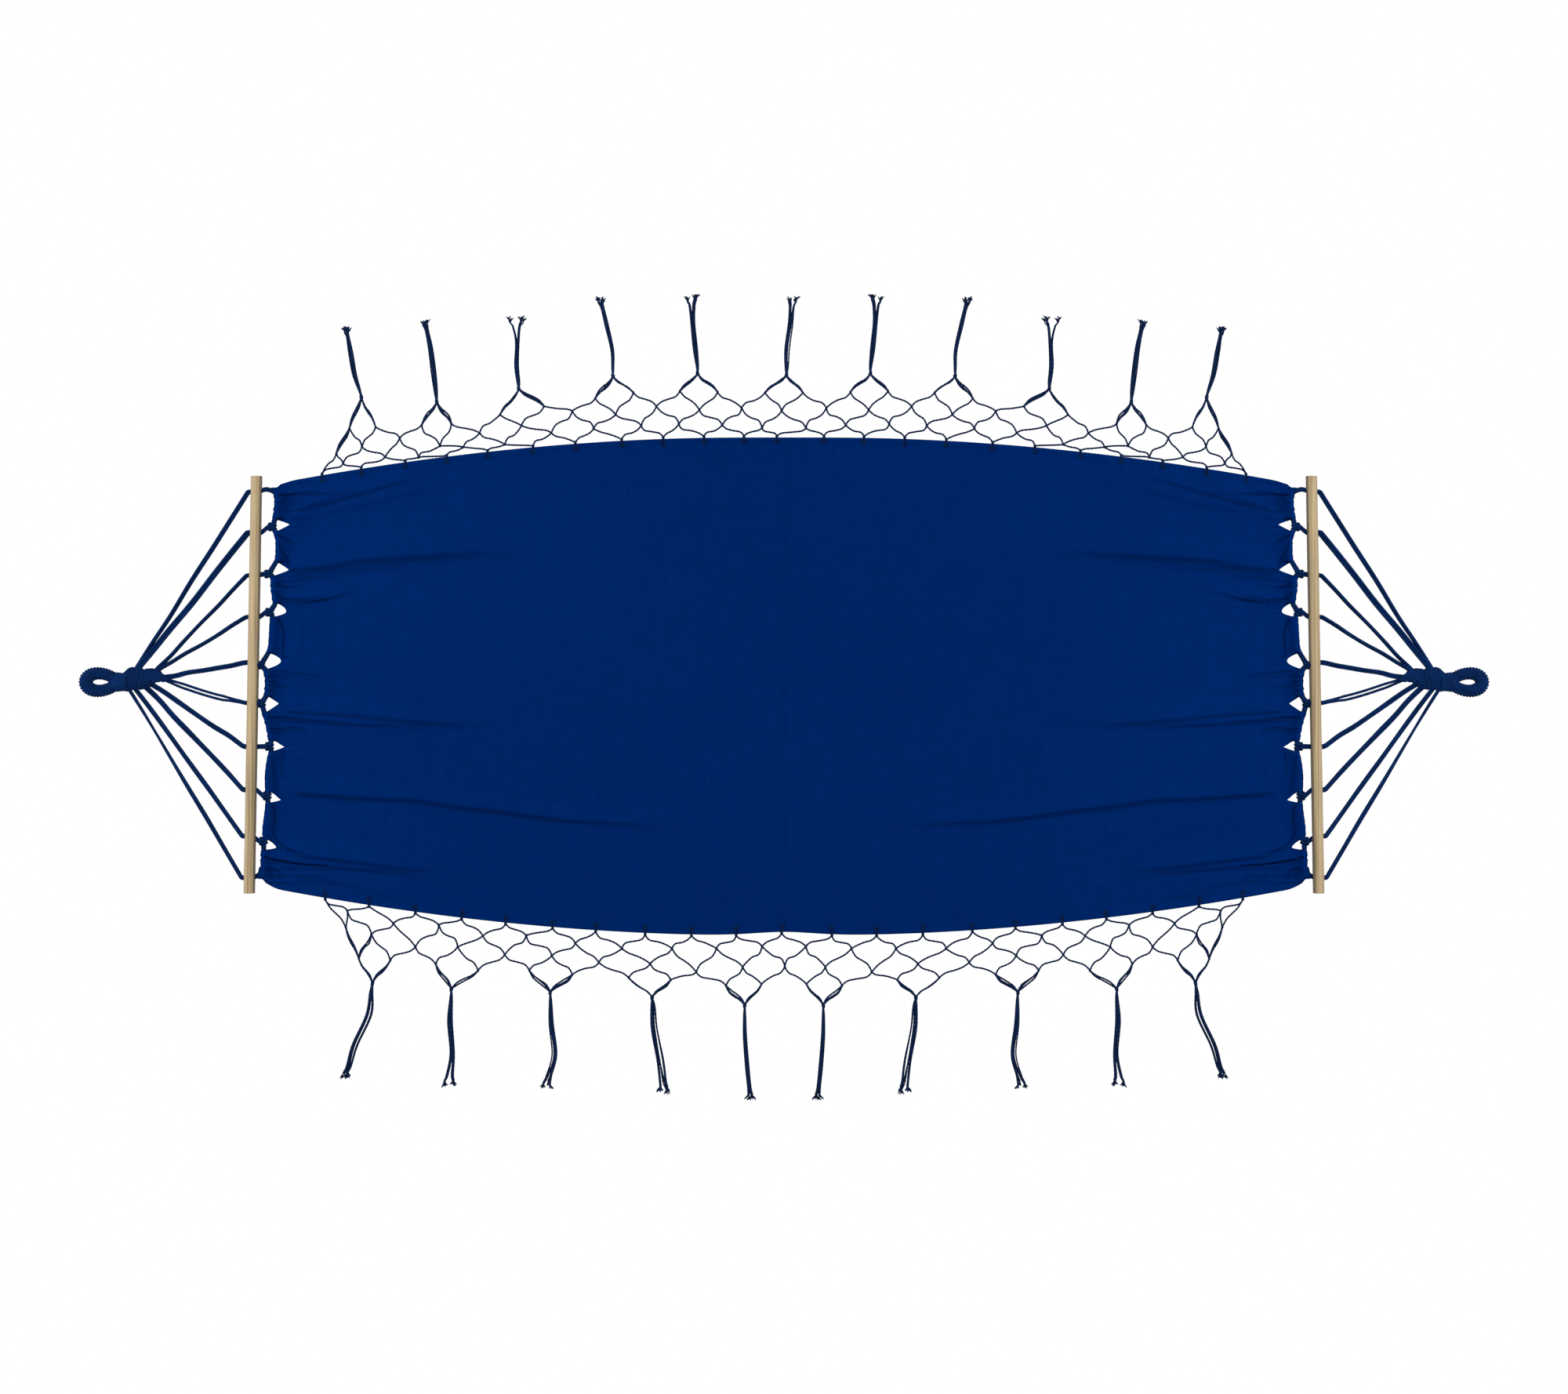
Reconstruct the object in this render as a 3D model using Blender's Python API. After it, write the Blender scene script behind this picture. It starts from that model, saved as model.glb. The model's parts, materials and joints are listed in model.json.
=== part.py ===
"""Rope hammock with two spreader bars and netted tassel fringes, laid out flat.

Frame: metres, +X along the hammock, +Y across it, +Z up.  The origin is on the ground below
the middle of the whole hammock, fringes included.  The two ends are mirror images, so every
end piece is made by one function that is called for each side.
"""

import math

import bmesh
import bpy
from mathutils import Matrix, Vector

# ---- driving dimensions -----------------------------------------------------------------
SIDES = (("left", -1), ("right", 1))

# cloth bed
CLOTH_T = 0.002           # sewn cotton canvas, with its hems
TOP_EDGE_Y = 0.4955       # long edges at the middle of the bed
BOTTOM_EDGE_Y = -0.4545
EDGE_CURVE = 0.090        # the long edges draw in by this times x squared
CORNER_X = 0.88           # from here the corners round off
CORNER_DRAW = 1.7
FOLD_X = 0.292            # the cloth bends here when the hammock sags, clear of any knot
FOLD_GAP = 0.0012

# edge rope and the casing tabs round it
END_Y = 0.0235            # centre of the spreader bars across the hammock
EDGE_ROPE_X = 0.9805      # rope centre at y = END_Y
EDGE_ROPE_LEAN = math.radians(2.0)
EDGE_ROPE_R = 0.004
EDGE_ROPE_Z = 0.007
EDGE_ROPE_TOP = 0.4075
EDGE_ROPE_BOTTOM = -0.3520
CASING_R = 0.0062
CASING_BORE_R = 0.0046
CASING_SIDES = 10
CLOTH_LAP = 0.0025        # the cloth runs into the casing wall up to here
TAB_TOP = 0.3990
TAB_BOTTOM = -0.3435
NOTCHES = 8
NOTCH_PITCH = 0.0887
NOTCH_MIDDLE_Y = 0.021
NOTCH_HALF = 0.0110
NOTCH_DEPTH = 0.026

# spreader bars
BAR_X = 1.0148            # bar centre at y = END_Y
BAR_LEAN = math.radians(1.0)
BAR_R = 0.010
BAR_LENGTH = 0.797
BAR_SIDES = 24
CORDS = 10
CORD_PITCH = 0.0825
HOLES_Y = END_Y + 0.001       # middle of the row of holes
# how far each hole sits from even spacing, from +Y to -Y
HOLE_SHIFT = (-0.0040, 0.0, 0.0015, 0.0045, 0.0, 0.0055, 0.0045, 0.0045, -0.0015, 0.0015)
CORD_HOLE_R = 0.0038

# links: the inner run of each cord, from the bar hole to its eye round the edge rope
LINK_BORE_R = 0.0044
LINK_EYE_R = 0.0066
LINK_WIDTH = 0.0045
LINK_EYE_SIDES = 10

# clew: the cords outside the bar, the plaited neck, its whipping and the served eye
CLEW_Y = 0.0285           # centre line of neck and eye
CLEW_Z = 0.0112
CORD_R = 0.0030
CORD_SAG = 0.0050
CORD_LEAD = 0.0070        # straight run out of the bar hole
NECK_SECTIONS = (         # distance out from the middle, half width, half height
    (1.1790, 0.0095, 0.0060),
    (1.1950, 0.0115, 0.0075),
    (1.2150, 0.0150, 0.0085),
    (1.2400, 0.0190, 0.0095),
    (1.2550, 0.0165, 0.0095),
    (1.2580, 0.0125, 0.0075),
    (1.2664, 0.0125, 0.0075),
)
NECK_SIDES = 14
CORD_STARTS = (           # where each cord leaves the neck, from +Y to -Y
    (1.2340, 0.0255), (1.2200, 0.0200), (1.2010, 0.0170), (1.1885, 0.0150), (1.1750, 0.0050),
    (1.1750, -0.0050), (1.1900, -0.0155), (1.2050, -0.0175), (1.2240, -0.0210), (1.2390, -0.0265),
)
WHIP_X = (1.2586, 1.2658)
WHIP_HALF = (0.0165, 0.0105)
WHIP_BORE = (0.0130, 0.0080)
EYE_X = 1.3070
EYE_HALF = (0.0280, 0.0170)   # centre line of the eye's rope
EYE_TUBE = (0.0120, 0.0105)   # half thickness in plan, half height
EYE_TURNS = 24
EYE_TUBE_SIDES = 10

# fringes: attachments, distance of each knot row from the cloth edge, length of the tassels
FRINGES = {
    "top": dict(edge=1, count=23, reach=0.8835, rows=(0.0024, 0.021, 0.053, 0.085, 0.125),
                tassel=0.145),
    "bottom": dict(edge=-1, count=21, reach=0.8775, rows=(0.0024, 0.027, 0.063, 0.100, 0.142),
                   tassel=0.170),
}
NET_Z = (0.0004, 0.0032)
STRAND_W = 0.0026
TASSEL_W = 0.0085
KNOT_REACH = 0.0055
TASSEL_LEAN = 0.020
NET_CUT = 0.0015          # a net section stops this far from the fold line
ROW2_PITCH, ROW3_PITCH = 0.975, 0.985   # knot rows draw together, against the sewn row

# finish: base colour, roughness
FINISHES = {
    "cloth": ((0.004, 0.017, 0.117), 0.90),
    "cord": ((0.003, 0.030, 0.095), 0.80),
    "wood": ((0.445, 0.337, 0.187), 0.60),
}


# ---- helpers ----------------------------------------------------------------------------
def clear_scene():
    for obj in list(bpy.data.objects):
        bpy.data.objects.remove(obj, do_unlink=True)


def finish(obj, kind):
    """Give the object its own Principled material."""
    colour, roughness = FINISHES[kind]
    mat = bpy.data.materials.new(obj.name + "_" + kind)
    mat.use_nodes = True
    shader = mat.node_tree.nodes["Principled BSDF"]
    shader.inputs["Base Color"].default_value = (*colour, 1.0)
    shader.inputs["Roughness"].default_value = roughness
    obj.data.materials.clear()
    obj.data.materials.append(mat)
    return obj


def object_from(bm, name):
    """Close a bmesh into a linked object whose faces point out."""
    bmesh.ops.recalc_face_normals(bm, faces=bm.faces[:])
    mesh = bpy.data.meshes.new(name)
    bm.to_mesh(mesh)
    bm.free()
    obj = bpy.data.objects.new(name, mesh)
    bpy.context.collection.objects.link(obj)
    return obj


def smooth(obj):
    obj.data.shade_smooth()
    obj.data.set_sharp_from_angle(angle=math.radians(35))
    return obj


def boolean(obj, tool, operation):
    """Cut with, or join on, a tool object that stays out of the part."""
    mod = obj.modifiers.new(operation.lower(), "BOOLEAN")
    mod.operation = operation
    mod.solver = "EXACT"
    mod.object = tool
    tool.hide_render = True
    tool.display_type = "WIRE"


def loft(bm, rings, closed_path):
    """Skin rings of equal length; cap the two ends of an open path."""
    loops = [[bm.verts.new(p) for p in ring] for ring in rings]
    pairs = list(zip(loops, loops[1:]))
    if closed_path:
        pairs.append((loops[-1], loops[0]))
    else:
        bm.faces.new(loops[0])
        bm.faces.new(loops[-1])
    for a, b in pairs:
        for i in range(len(a)):
            j = (i + 1) % len(a)
            bm.faces.new((a[i], a[j], b[j], b[i]))


def circle(n, radius_a, radius_b, phase=0.0):
    turn = 2 * math.pi / n
    return [(radius_a * math.cos(turn * (i + phase)), radius_b * math.sin(turn * (i + phase)))
            for i in range(n)]


def tube(name, points, radius, resolution):
    """A round cord through a list of points."""
    curve = bpy.data.curves.new(name, "CURVE")
    curve.dimensions = "3D"
    curve.bevel_depth = radius
    curve.bevel_resolution = resolution
    curve.render_resolution_u = 0
    curve.use_fill_caps = True
    spline = curve.splines.new("POLY")
    spline.points.add(len(points) - 1)
    for point, place in zip(spline.points, points):
        point.co = (*place, 1.0)
    obj = bpy.data.objects.new(name, curve)
    bpy.context.collection.objects.link(obj)
    return obj


# ---- where things are -------------------------------------------------------------------
def edge_y(edge, x):
    """Long edge of the cloth at a distance x from the middle; edge is 1 or -1."""
    middle = TOP_EDGE_Y if edge > 0 else BOTTOM_EDGE_Y
    corner = max(0.0, abs(x) - CORNER_X)
    return middle - edge * (EDGE_CURVE * x * x + CORNER_DRAW * corner * corner)


def rope_x(y):
    return EDGE_ROPE_X - (y - END_Y) * math.tan(EDGE_ROPE_LEAN)


def bar_x(y):
    return BAR_X - (y - END_Y) * math.tan(BAR_LEAN)


def cord_y(k):
    return HOLES_Y + ((CORDS - 1) / 2 - k) * CORD_PITCH + HOLE_SHIFT[k]


def notch_y(k):
    return NOTCH_MIDDLE_Y + ((NOTCHES - 1) / 2 - k) * NOTCH_PITCH


def link_y(k):
    """Where cord k goes round the edge rope: past the outer tabs, or in a notch."""
    if k == 0:
        return (TAB_TOP + EDGE_ROPE_TOP) / 2
    if k == CORDS - 1:
        return (TAB_BOTTOM + EDGE_ROPE_BOTTOM) / 2
    return notch_y(k - 1)


# ---- cloth ------------------------------------------------------------------------------
def plate(name, outline):
    bm = bmesh.new()
    face = bm.faces.new([bm.verts.new((x, y, 0.0)) for x, y in outline])
    grown = bmesh.ops.extrude_face_region(bm, geom=[face])
    top = [v for v in grown["geom"] if isinstance(v, bmesh.types.BMVert)]
    bmesh.ops.translate(bm, verts=top, vec=(0.0, 0.0, CLOTH_T))
    return object_from(bm, name)


def bed_center():
    reach = FOLD_X - FOLD_GAP / 2
    steps = 6
    xs = [reach * (2 * i / steps - 1) for i in range(steps + 1)]
    outline = [(x, edge_y(-1, x)) for x in xs] + [(x, edge_y(1, x)) for x in reversed(xs)]
    finish(plate("bed_center", outline), "cloth")


def notch_outline(k):
    """A pointed-round opening between two casing tabs, from its -Y corner to its +Y one."""
    points = []
    for t in (-1.0, -0.7, -0.3, 0.0, 0.3, 0.7, 1.0):
        y = notch_y(k) + NOTCH_HALF * t
        inward = NOTCH_DEPTH - (NOTCH_DEPTH - CLOTH_LAP) * abs(t) ** 1.4
        points.append((rope_x(y) - inward, y))
    return points


def bed_end(side_name, side):
    """End panel: the cloth, notched for the cords, with a casing tube along every tab."""
    inner = FOLD_X + FOLD_GAP / 2
    steps = 6
    runs = {}
    for edge, corner_y in ((1, TAB_TOP), (-1, TAB_BOTTOM)):
        corner_x = rope_x(corner_y) - CLOTH_LAP
        xs = [inner + (CORNER_X - inner) * i / steps for i in range(steps + 1)]
        xs.append((CORNER_X + corner_x) / 2)
        runs[edge] = [(x, edge_y(edge, x)) for x in xs] + [(corner_x, corner_y)]
    outline = list(runs[-1])
    for k in reversed(range(NOTCHES)):
        outline += notch_outline(k)
    outline += reversed(runs[1])
    obj = plate("bed_" + side_name, [(side * x, y) for x, y in outline])
    boolean(obj, casing(side_name, side), "UNION")
    finish(obj, "cloth")


def casing(side_name, side):
    """The nine tubes of folded cloth that hold the edge rope."""
    ends = [TAB_BOTTOM]
    for k in reversed(range(NOTCHES)):
        ends += [notch_y(k) - NOTCH_HALF, notch_y(k) + NOTCH_HALF]
    ends.append(TAB_TOP)
    bm = bmesh.new()
    outer = circle(CASING_SIDES, CASING_R, CASING_R, 0.5)
    inner = circle(CASING_SIDES, CASING_BORE_R, CASING_BORE_R, 0.5)
    for low, high in zip(ends[0::2], ends[1::2]):
        section = [(outer, low), (outer, high), (inner, high), (inner, low)]
        rings = [[(side * (rope_x(y) + u), y, EDGE_ROPE_Z + w) for u, w in ring]
                 for ring, y in section]
        loft(bm, rings, closed_path=True)
    return object_from(bm, "casing_tool_" + side_name)


def edge_rope(side_name, side):
    ends = [(side * rope_x(y), y, EDGE_ROPE_Z) for y in (EDGE_ROPE_BOTTOM, EDGE_ROPE_TOP)]
    finish(tube("edge_rope_" + side_name, ends, EDGE_ROPE_R, 2), "cord")


# ---- spreader bar and the links ---------------------------------------------------------
def spreader_bar(side_name, side):
    """Round dowel, with a cross hole for every cord."""
    bpy.ops.mesh.primitive_cylinder_add(vertices=BAR_SIDES, radius=BAR_R, depth=BAR_LENGTH)
    bar = bpy.context.object
    bar.name = bar.data.name = "spreader_bar_" + side_name
    bar.matrix_world = (Matrix.Translation((side * BAR_X, END_Y, BAR_R))
                        @ Matrix.Rotation(side * BAR_LEAN, 4, "Z")
                        @ Matrix.Rotation(math.pi / 2, 4, "X"))
    bm = bmesh.new()
    ring = circle(12, CORD_HOLE_R, CORD_HOLE_R)
    for k in range(CORDS):
        y = cord_y(k)
        rings = [[(side * bar_x(y) + end, y + u, BAR_R + w) for u, w in ring]
                 for end in (-2 * BAR_R, 2 * BAR_R)]
        loft(bm, rings, closed_path=False)
    boolean(bar, object_from(bm, "hole_tool_" + side_name), "DIFFERENCE")
    smooth(bar)
    finish(bar, "wood")


def link(side_name, side, k):
    """Eye round the edge rope, drawn out into a stem that ends inside the bar hole."""
    eye_y = link_y(k)
    hole_y = cord_y(k)
    x0 = rope_x(eye_y)
    bm = bmesh.new()
    outer = circle(LINK_EYE_SIDES, LINK_EYE_R, LINK_EYE_R, 0.5)
    bore = circle(LINK_EYE_SIDES, LINK_BORE_R, LINK_BORE_R, 0.5)
    half = LINK_WIDTH / 2
    section = [(outer, -half), (outer, half), (bore, half), (bore, -half)]
    rings = [[(x0 + u, eye_y + y, EDGE_ROPE_Z + w) for u, w in ring] for ring, y in section]
    loft(bm, rings, closed_path=True)
    bmesh.ops.recalc_face_normals(bm, faces=bm.faces[:])
    face = max(bm.faces, key=lambda f: f.calc_center_median().x)
    stops = ((bar_x(hole_y) - BAR_R - 0.002, hole_y, BAR_R),
             (bar_x(hole_y) + 0.8 * BAR_R, hole_y, BAR_R))
    for stop in stops:
        grown = bmesh.ops.extrude_discrete_faces(bm, faces=[face])
        face = grown["faces"][0]
        bmesh.ops.translate(bm, verts=face.verts, vec=Vector(stop) - face.calc_center_median())
    bmesh.ops.scale(bm, verts=bm.verts[:], vec=(side, 1.0, 1.0))
    finish(object_from(bm, "link_%s_%02d" % (side_name, k + 1)), "cord")


# ---- clew -------------------------------------------------------------------------------
def clew_cord(side_name, side, k):
    """Doubled cord outside the bar, down to the ground and along to the neck."""
    y = cord_y(k)
    hole_x = bar_x(y) + BAR_R + 0.0006
    start = Vector((hole_x + CORD_LEAD, y, BAR_R))
    out_x, out_y = CORD_STARTS[k]
    stop = Vector((out_x, CLEW_Y + out_y, CLEW_Z))
    points = [(side * hole_x, y, BAR_R)]
    for t in (0.0, 0.12, 0.3, 0.7, 0.88, 1.0):
        place = start.lerp(stop, t)
        place.z -= CORD_SAG * math.sin(math.pi * t) ** 0.7
        points.append((side * place.x, place.y, place.z))
    finish(tube("clew_cord_%s_%02d" % (side_name, k + 1), points, CORD_R, 2), "cord")


def neck(side_name, side):
    bm = bmesh.new()
    rings = [[(side * x, CLEW_Y + u, CLEW_Z + w) for u, w in circle(NECK_SIDES, a, b)]
             for x, a, b in NECK_SECTIONS]
    loft(bm, rings, closed_path=False)
    finish(smooth(object_from(bm, "neck_" + side_name)), "cord")


def whipping(side_name, side):
    """Band of tight turns where the neck meets the eye."""
    outer = circle(NECK_SIDES, *WHIP_HALF)
    bore = circle(NECK_SIDES, *WHIP_BORE)
    x0, x1 = WHIP_X
    bm = bmesh.new()
    rings = [[(side * x, CLEW_Y + u, CLEW_Z + w) for u, w in ring]
             for ring, x in ((outer, x0), (outer, x1), (bore, x1), (bore, x0))]
    loft(bm, rings, closed_path=True)
    finish(smooth(object_from(bm, "whipping_" + side_name)), "cord")


def hanging_eye(side_name, side):
    """Closed loop of served rope that goes over the hook."""
    section = circle(EYE_TUBE_SIDES, *EYE_TUBE)
    rings = []
    for i in range(EYE_TURNS):
        a = 2 * math.pi * i / EYE_TURNS
        out = Vector((math.cos(a) * EYE_HALF[1], math.sin(a) * EYE_HALF[0])).normalized()
        mid = Vector((EYE_X + EYE_HALF[0] * math.cos(a), CLEW_Y + EYE_HALF[1] * math.sin(a)))
        rings.append([(side * (mid.x + u * out.x), mid.y + u * out.y, CLEW_Z + w)
                      for u, w in section])
    bm = bmesh.new()
    loft(bm, rings, closed_path=True)
    finish(smooth(object_from(bm, "hanging_eye_" + side_name)), "cord")


# ---- fringes ----------------------------------------------------------------------------
def fringe_graph(spec):
    """Knots and strands of one netted fringe; a strand is (knot, knot, width)."""
    edge = spec["edge"]
    count = spec["count"]
    pitch = 2 * spec["reach"] / (count - 1)
    rows = spec["rows"]
    places = []
    strands = []

    def knots(row, number, step):
        first = len(places)
        for i in range(number):
            x = (i - (number - 1) / 2) * step
            places.append(Vector((x, edge_y(edge, x) + edge * rows[row])))
        return list(range(first, len(places)))

    attached = knots(0, count, pitch)
    row1 = knots(1, count - 1, pitch)
    row2 = knots(2, count, ROW2_PITCH * pitch)
    row3 = knots(3, count - 1, ROW3_PITCH * pitch)
    heads = knots(4, (count - 1) // 2, 2 * pitch)
    for upper, lower in ((attached, row1), (row2, row1), (row2, row3)):
        for i, knot in enumerate(lower):
            strands += [(upper[i], knot, STRAND_W), (upper[i + 1], knot, STRAND_W)]
    for i, head in enumerate(heads):
        strands += [(row3[2 * i], head, STRAND_W), (row3[2 * i + 1], head, STRAND_W)]
        lean = TASSEL_LEAN * (i - (len(heads) - 1) / 2) / len(heads)
        places.append(places[head] + Vector((lean, edge * spec["tassel"])))
        strands.append((head, len(places) - 1, TASSEL_W))
    return places, strands


def cut_to(places, strands, low, high):
    """Keep what lies between two x values; a strand that crosses one is cut there."""
    kept = []
    points = list(places)
    for a, b, width in strands:
        pa, pb = points[a], points[b]
        inside = [low < p.x < high for p in (pa, pb)]
        if not any(inside):
            continue
        if not all(inside):
            limit = low if min(pa.x, pb.x) < low else high
            points.append(pa.lerp(pb, (limit - pa.x) / (pb.x - pa.x)))
            a, b = (a, len(points) - 1) if inside[0] else (len(points) - 1, b)
        kept.append((a, b, width))
    return points, kept


def net_solid(name, places, strands):
    """Flat closed solid: a strip for every strand and a small polygon for every knot."""
    around = {}
    for a, b, width in strands:
        around.setdefault(a, []).append((b, width))
        around.setdefault(b, []).append((a, width))
    bm = bmesh.new()
    corners = {}
    for knot, others in around.items():
        def angle(other):
            way = places[other[0]] - places[knot]
            return math.atan2(way.y, way.x)
        ring = []
        for other, width in sorted(others, key=angle):
            way = (places[other] - places[knot]).normalized()
            base = places[knot] + way * (KNOT_REACH if len(others) > 1 else 0.0)
            across = Vector((-way.y, way.x)) * width / 2
            pair = [bm.verts.new((*(base + s * across), NET_Z[0])) for s in (-1, 1)]
            corners[knot, other] = pair
            ring += pair
        if len(others) > 1:
            bm.faces.new(ring)
    for a, b, _ in strands:
        bm.faces.new(corners[a, b] + corners[b, a])
    grown = bmesh.ops.extrude_face_region(bm, geom=bm.faces[:])
    top = [v for v in grown["geom"] if isinstance(v, bmesh.types.BMVert)]
    bmesh.ops.translate(bm, verts=top, vec=(0.0, 0.0, NET_Z[1] - NET_Z[0]))
    return object_from(bm, name)


def fringe(edge_name):
    places, strands = fringe_graph(FRINGES[edge_name])
    near, far = FOLD_X - NET_CUT, FOLD_X + NET_CUT
    spans = {"left": (-math.inf, -far), "center": (-near, near), "right": (far, math.inf)}
    for section, (low, high) in spans.items():
        points, kept = cut_to(places, strands, low, high)
        finish(net_solid("fringe_%s_%s" % (edge_name, section), points, kept), "cord")


# ---- build ------------------------------------------------------------------------------
def build():
    clear_scene()
    bed_center()
    for side_name, side in SIDES:
        bed_end(side_name, side)
        edge_rope(side_name, side)
        spreader_bar(side_name, side)
        neck(side_name, side)
        whipping(side_name, side)
        hanging_eye(side_name, side)
        for k in range(CORDS):
            link(side_name, side, k)
            clew_cord(side_name, side, k)
    for edge_name in FRINGES:
        fringe(edge_name)


build()
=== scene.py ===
"""Looks of the rope hammock: sewn cloth bed, wooden spreader bars, cord clews and netted fringes.

Metres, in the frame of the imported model: +X along the hammock, +Y across it, +Z up.  The two
ends are mirror images, so each end piece is worked out for the +X end and mirrored in x.
"""

import json
import math

import bpy
import numpy as np
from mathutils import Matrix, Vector


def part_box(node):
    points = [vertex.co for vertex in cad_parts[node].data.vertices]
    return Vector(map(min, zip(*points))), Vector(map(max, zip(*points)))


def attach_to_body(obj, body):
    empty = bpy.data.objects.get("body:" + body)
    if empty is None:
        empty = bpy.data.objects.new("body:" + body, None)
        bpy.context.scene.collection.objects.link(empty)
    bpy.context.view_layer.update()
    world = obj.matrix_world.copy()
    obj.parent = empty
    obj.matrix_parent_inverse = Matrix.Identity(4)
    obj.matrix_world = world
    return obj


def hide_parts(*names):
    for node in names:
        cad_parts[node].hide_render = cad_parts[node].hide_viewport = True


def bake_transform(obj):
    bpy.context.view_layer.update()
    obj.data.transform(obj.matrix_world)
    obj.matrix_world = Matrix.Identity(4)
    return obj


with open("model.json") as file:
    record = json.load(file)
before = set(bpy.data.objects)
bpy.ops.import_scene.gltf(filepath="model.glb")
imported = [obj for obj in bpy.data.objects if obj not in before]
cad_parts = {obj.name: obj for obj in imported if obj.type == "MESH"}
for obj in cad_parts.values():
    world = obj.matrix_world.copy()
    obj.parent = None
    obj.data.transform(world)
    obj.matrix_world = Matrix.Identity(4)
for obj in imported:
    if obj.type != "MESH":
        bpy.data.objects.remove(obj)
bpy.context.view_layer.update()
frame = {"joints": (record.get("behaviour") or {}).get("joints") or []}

MM = 0.001
TURN = 2 * math.pi
SIGNS = {"left": -1, "right": 1}  # the two ends, and the sign of x there
JOINTS = {joint["name"]: joint for joint in frame["joints"]}

# ---- places read from the frame ----
BED_BOTTOM_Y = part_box("bed_center")[0].y
BED_TOP_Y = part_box("bed_center")[1].y
CORDS = 10  # at each end
CAD_CORD_R = 3.0 * MM


def bar_line(y):
    """x of the line through the cord holes of the +X end's bar, which leans a little."""
    x0, y0, _ = JOINTS["clew_swing_right"]["pos_m"]
    dx, dy, _ = JOINTS["clew_swing_right"]["axis"]
    return x0 + (y - y0) * dx / dy


BAR_Z = JOINTS["clew_swing_right"]["pos_m"][2]
ROPE_Z = JOINTS["bar_swing_right"]["pos_m"][2] + 0.4 * MM
EYE_LO, EYE_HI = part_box("hanging_eye_right")
CLEW_Y = (EYE_LO.y + EYE_HI.y) / 2
CLEW_Z = (EYE_LO.z + EYE_HI.z) / 2
NECK_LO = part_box("neck_right")[0]
WHIP_LO, WHIP_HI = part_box("whipping_right")

# ---- the cloth bed ----
EDGE_DROP, EDGE_FLAT = 0.098, 0.046  # how the long edges draw in towards the ends
TOP_CORNER = (0.925, 2.5)  # where each edge turns in to its corner, and how fast
BOTTOM_CORNER = (0.958, 7.5)
TAB_TOP, TAB_BOTTOM = 0.4000, -0.3475
MAIN_ROWS, END_ROWS, WRAP_ROWS = 114, 40, 13
END_ZONE_X = 0.900  # the fine rows of the cloth start here
CLOTH_T = 1.4 * MM
CLOTH_TOP = 1.7 * MM
CASING_R = 6.0 * MM
RIM_R = 1.3 * MM  # radius of the cloth's edge in a notch
WRAP_START = math.radians(115)  # angle on the casing where the top of the cloth meets it
HEM_W, STITCH_IN = 11 * MM, 9 * MM  # of the long hems, and their stitch line's distance in
END_HEM_X = 0.921  # stitch line of the folded casing

# Notches between the casing tabs of the +X end, in mm: upper and lower end, x and y of the tip,
# and how blunt the tip is.
NOTCHES = np.array((
    (338.5, 318.0, 944.5, 330.0, 1.15), (256.5, 232.0, 946.0, 243.0, 1.15),
    (178.5, 154.0, 951.0, 163.5, 2.00), (83.0, 54.0, 961.0, 69.0, 1.90),
    (0.5, -28.0, 965.0, -12.5, 1.05), (-84.0, -103.0, 953.0, -94.5, 1.20),
    (-182.5, -201.5, 961.0, -196.5, 1.50), (-273.0, -292.0, 970.0, -288.0, 1.60)))
NOTCHES[:, :4] *= MM
# Knots where the cords pull the edge rope outwards, and the rope between them, x and y in mm.
KNOTS = np.array(((977.5, 325.0), (984.5, 235.0), (982.5, 162.0), (1000.0, 60.5),
                  (998.5, -12.0), (983.0, -94.5), (987.5, -189.0), (994.5, -275.5))) * MM
ROPE_RUN = np.array((
    (973, 400), (968.5, 390), (967.5, 378), (969.5, 358), (971, 346), (972.5, 340),
    (970, 313), (966, 299), (966, 276), (967, 263), (970.5, 258),
    (977, 230), (975.5, 223), (975.5, 208), (972, 184), (972, 178),
    (976.5, 151), (977.5, 140), (978.5, 118), (980, 96), (983, 88),
    (991, 53), (988.5, 46), (986, 31), (987, 13), (988.5, 3),
    (992.5, -31), (989, -40), (985, -54), (981.5, -72), (980, -85),
    (979, -105), (981.5, -114), (984.5, -131), (986.5, -151), (986, -176), (986, -182),
    (985.5, -204), (986, -212), (988, -228), (991, -250), (991, -272),
    (994, -294), (994.5, -316), (995, -330), (999.5, -343), (1001, -352))) * MM
# How strongly each tab is gathered, and the gathers' spacing and reach in m and height in mm.
TAB_GATHER = np.array((0.9, 0.35, 0.8, 0.2, 0.9, 0.75, 0.2, 0.3, 0.95))
GATHERS = ((0.0135, 0.055, 1.5), (0.0085, 0.030, 1.1), (0.0210, 0.120, 0.9))

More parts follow.
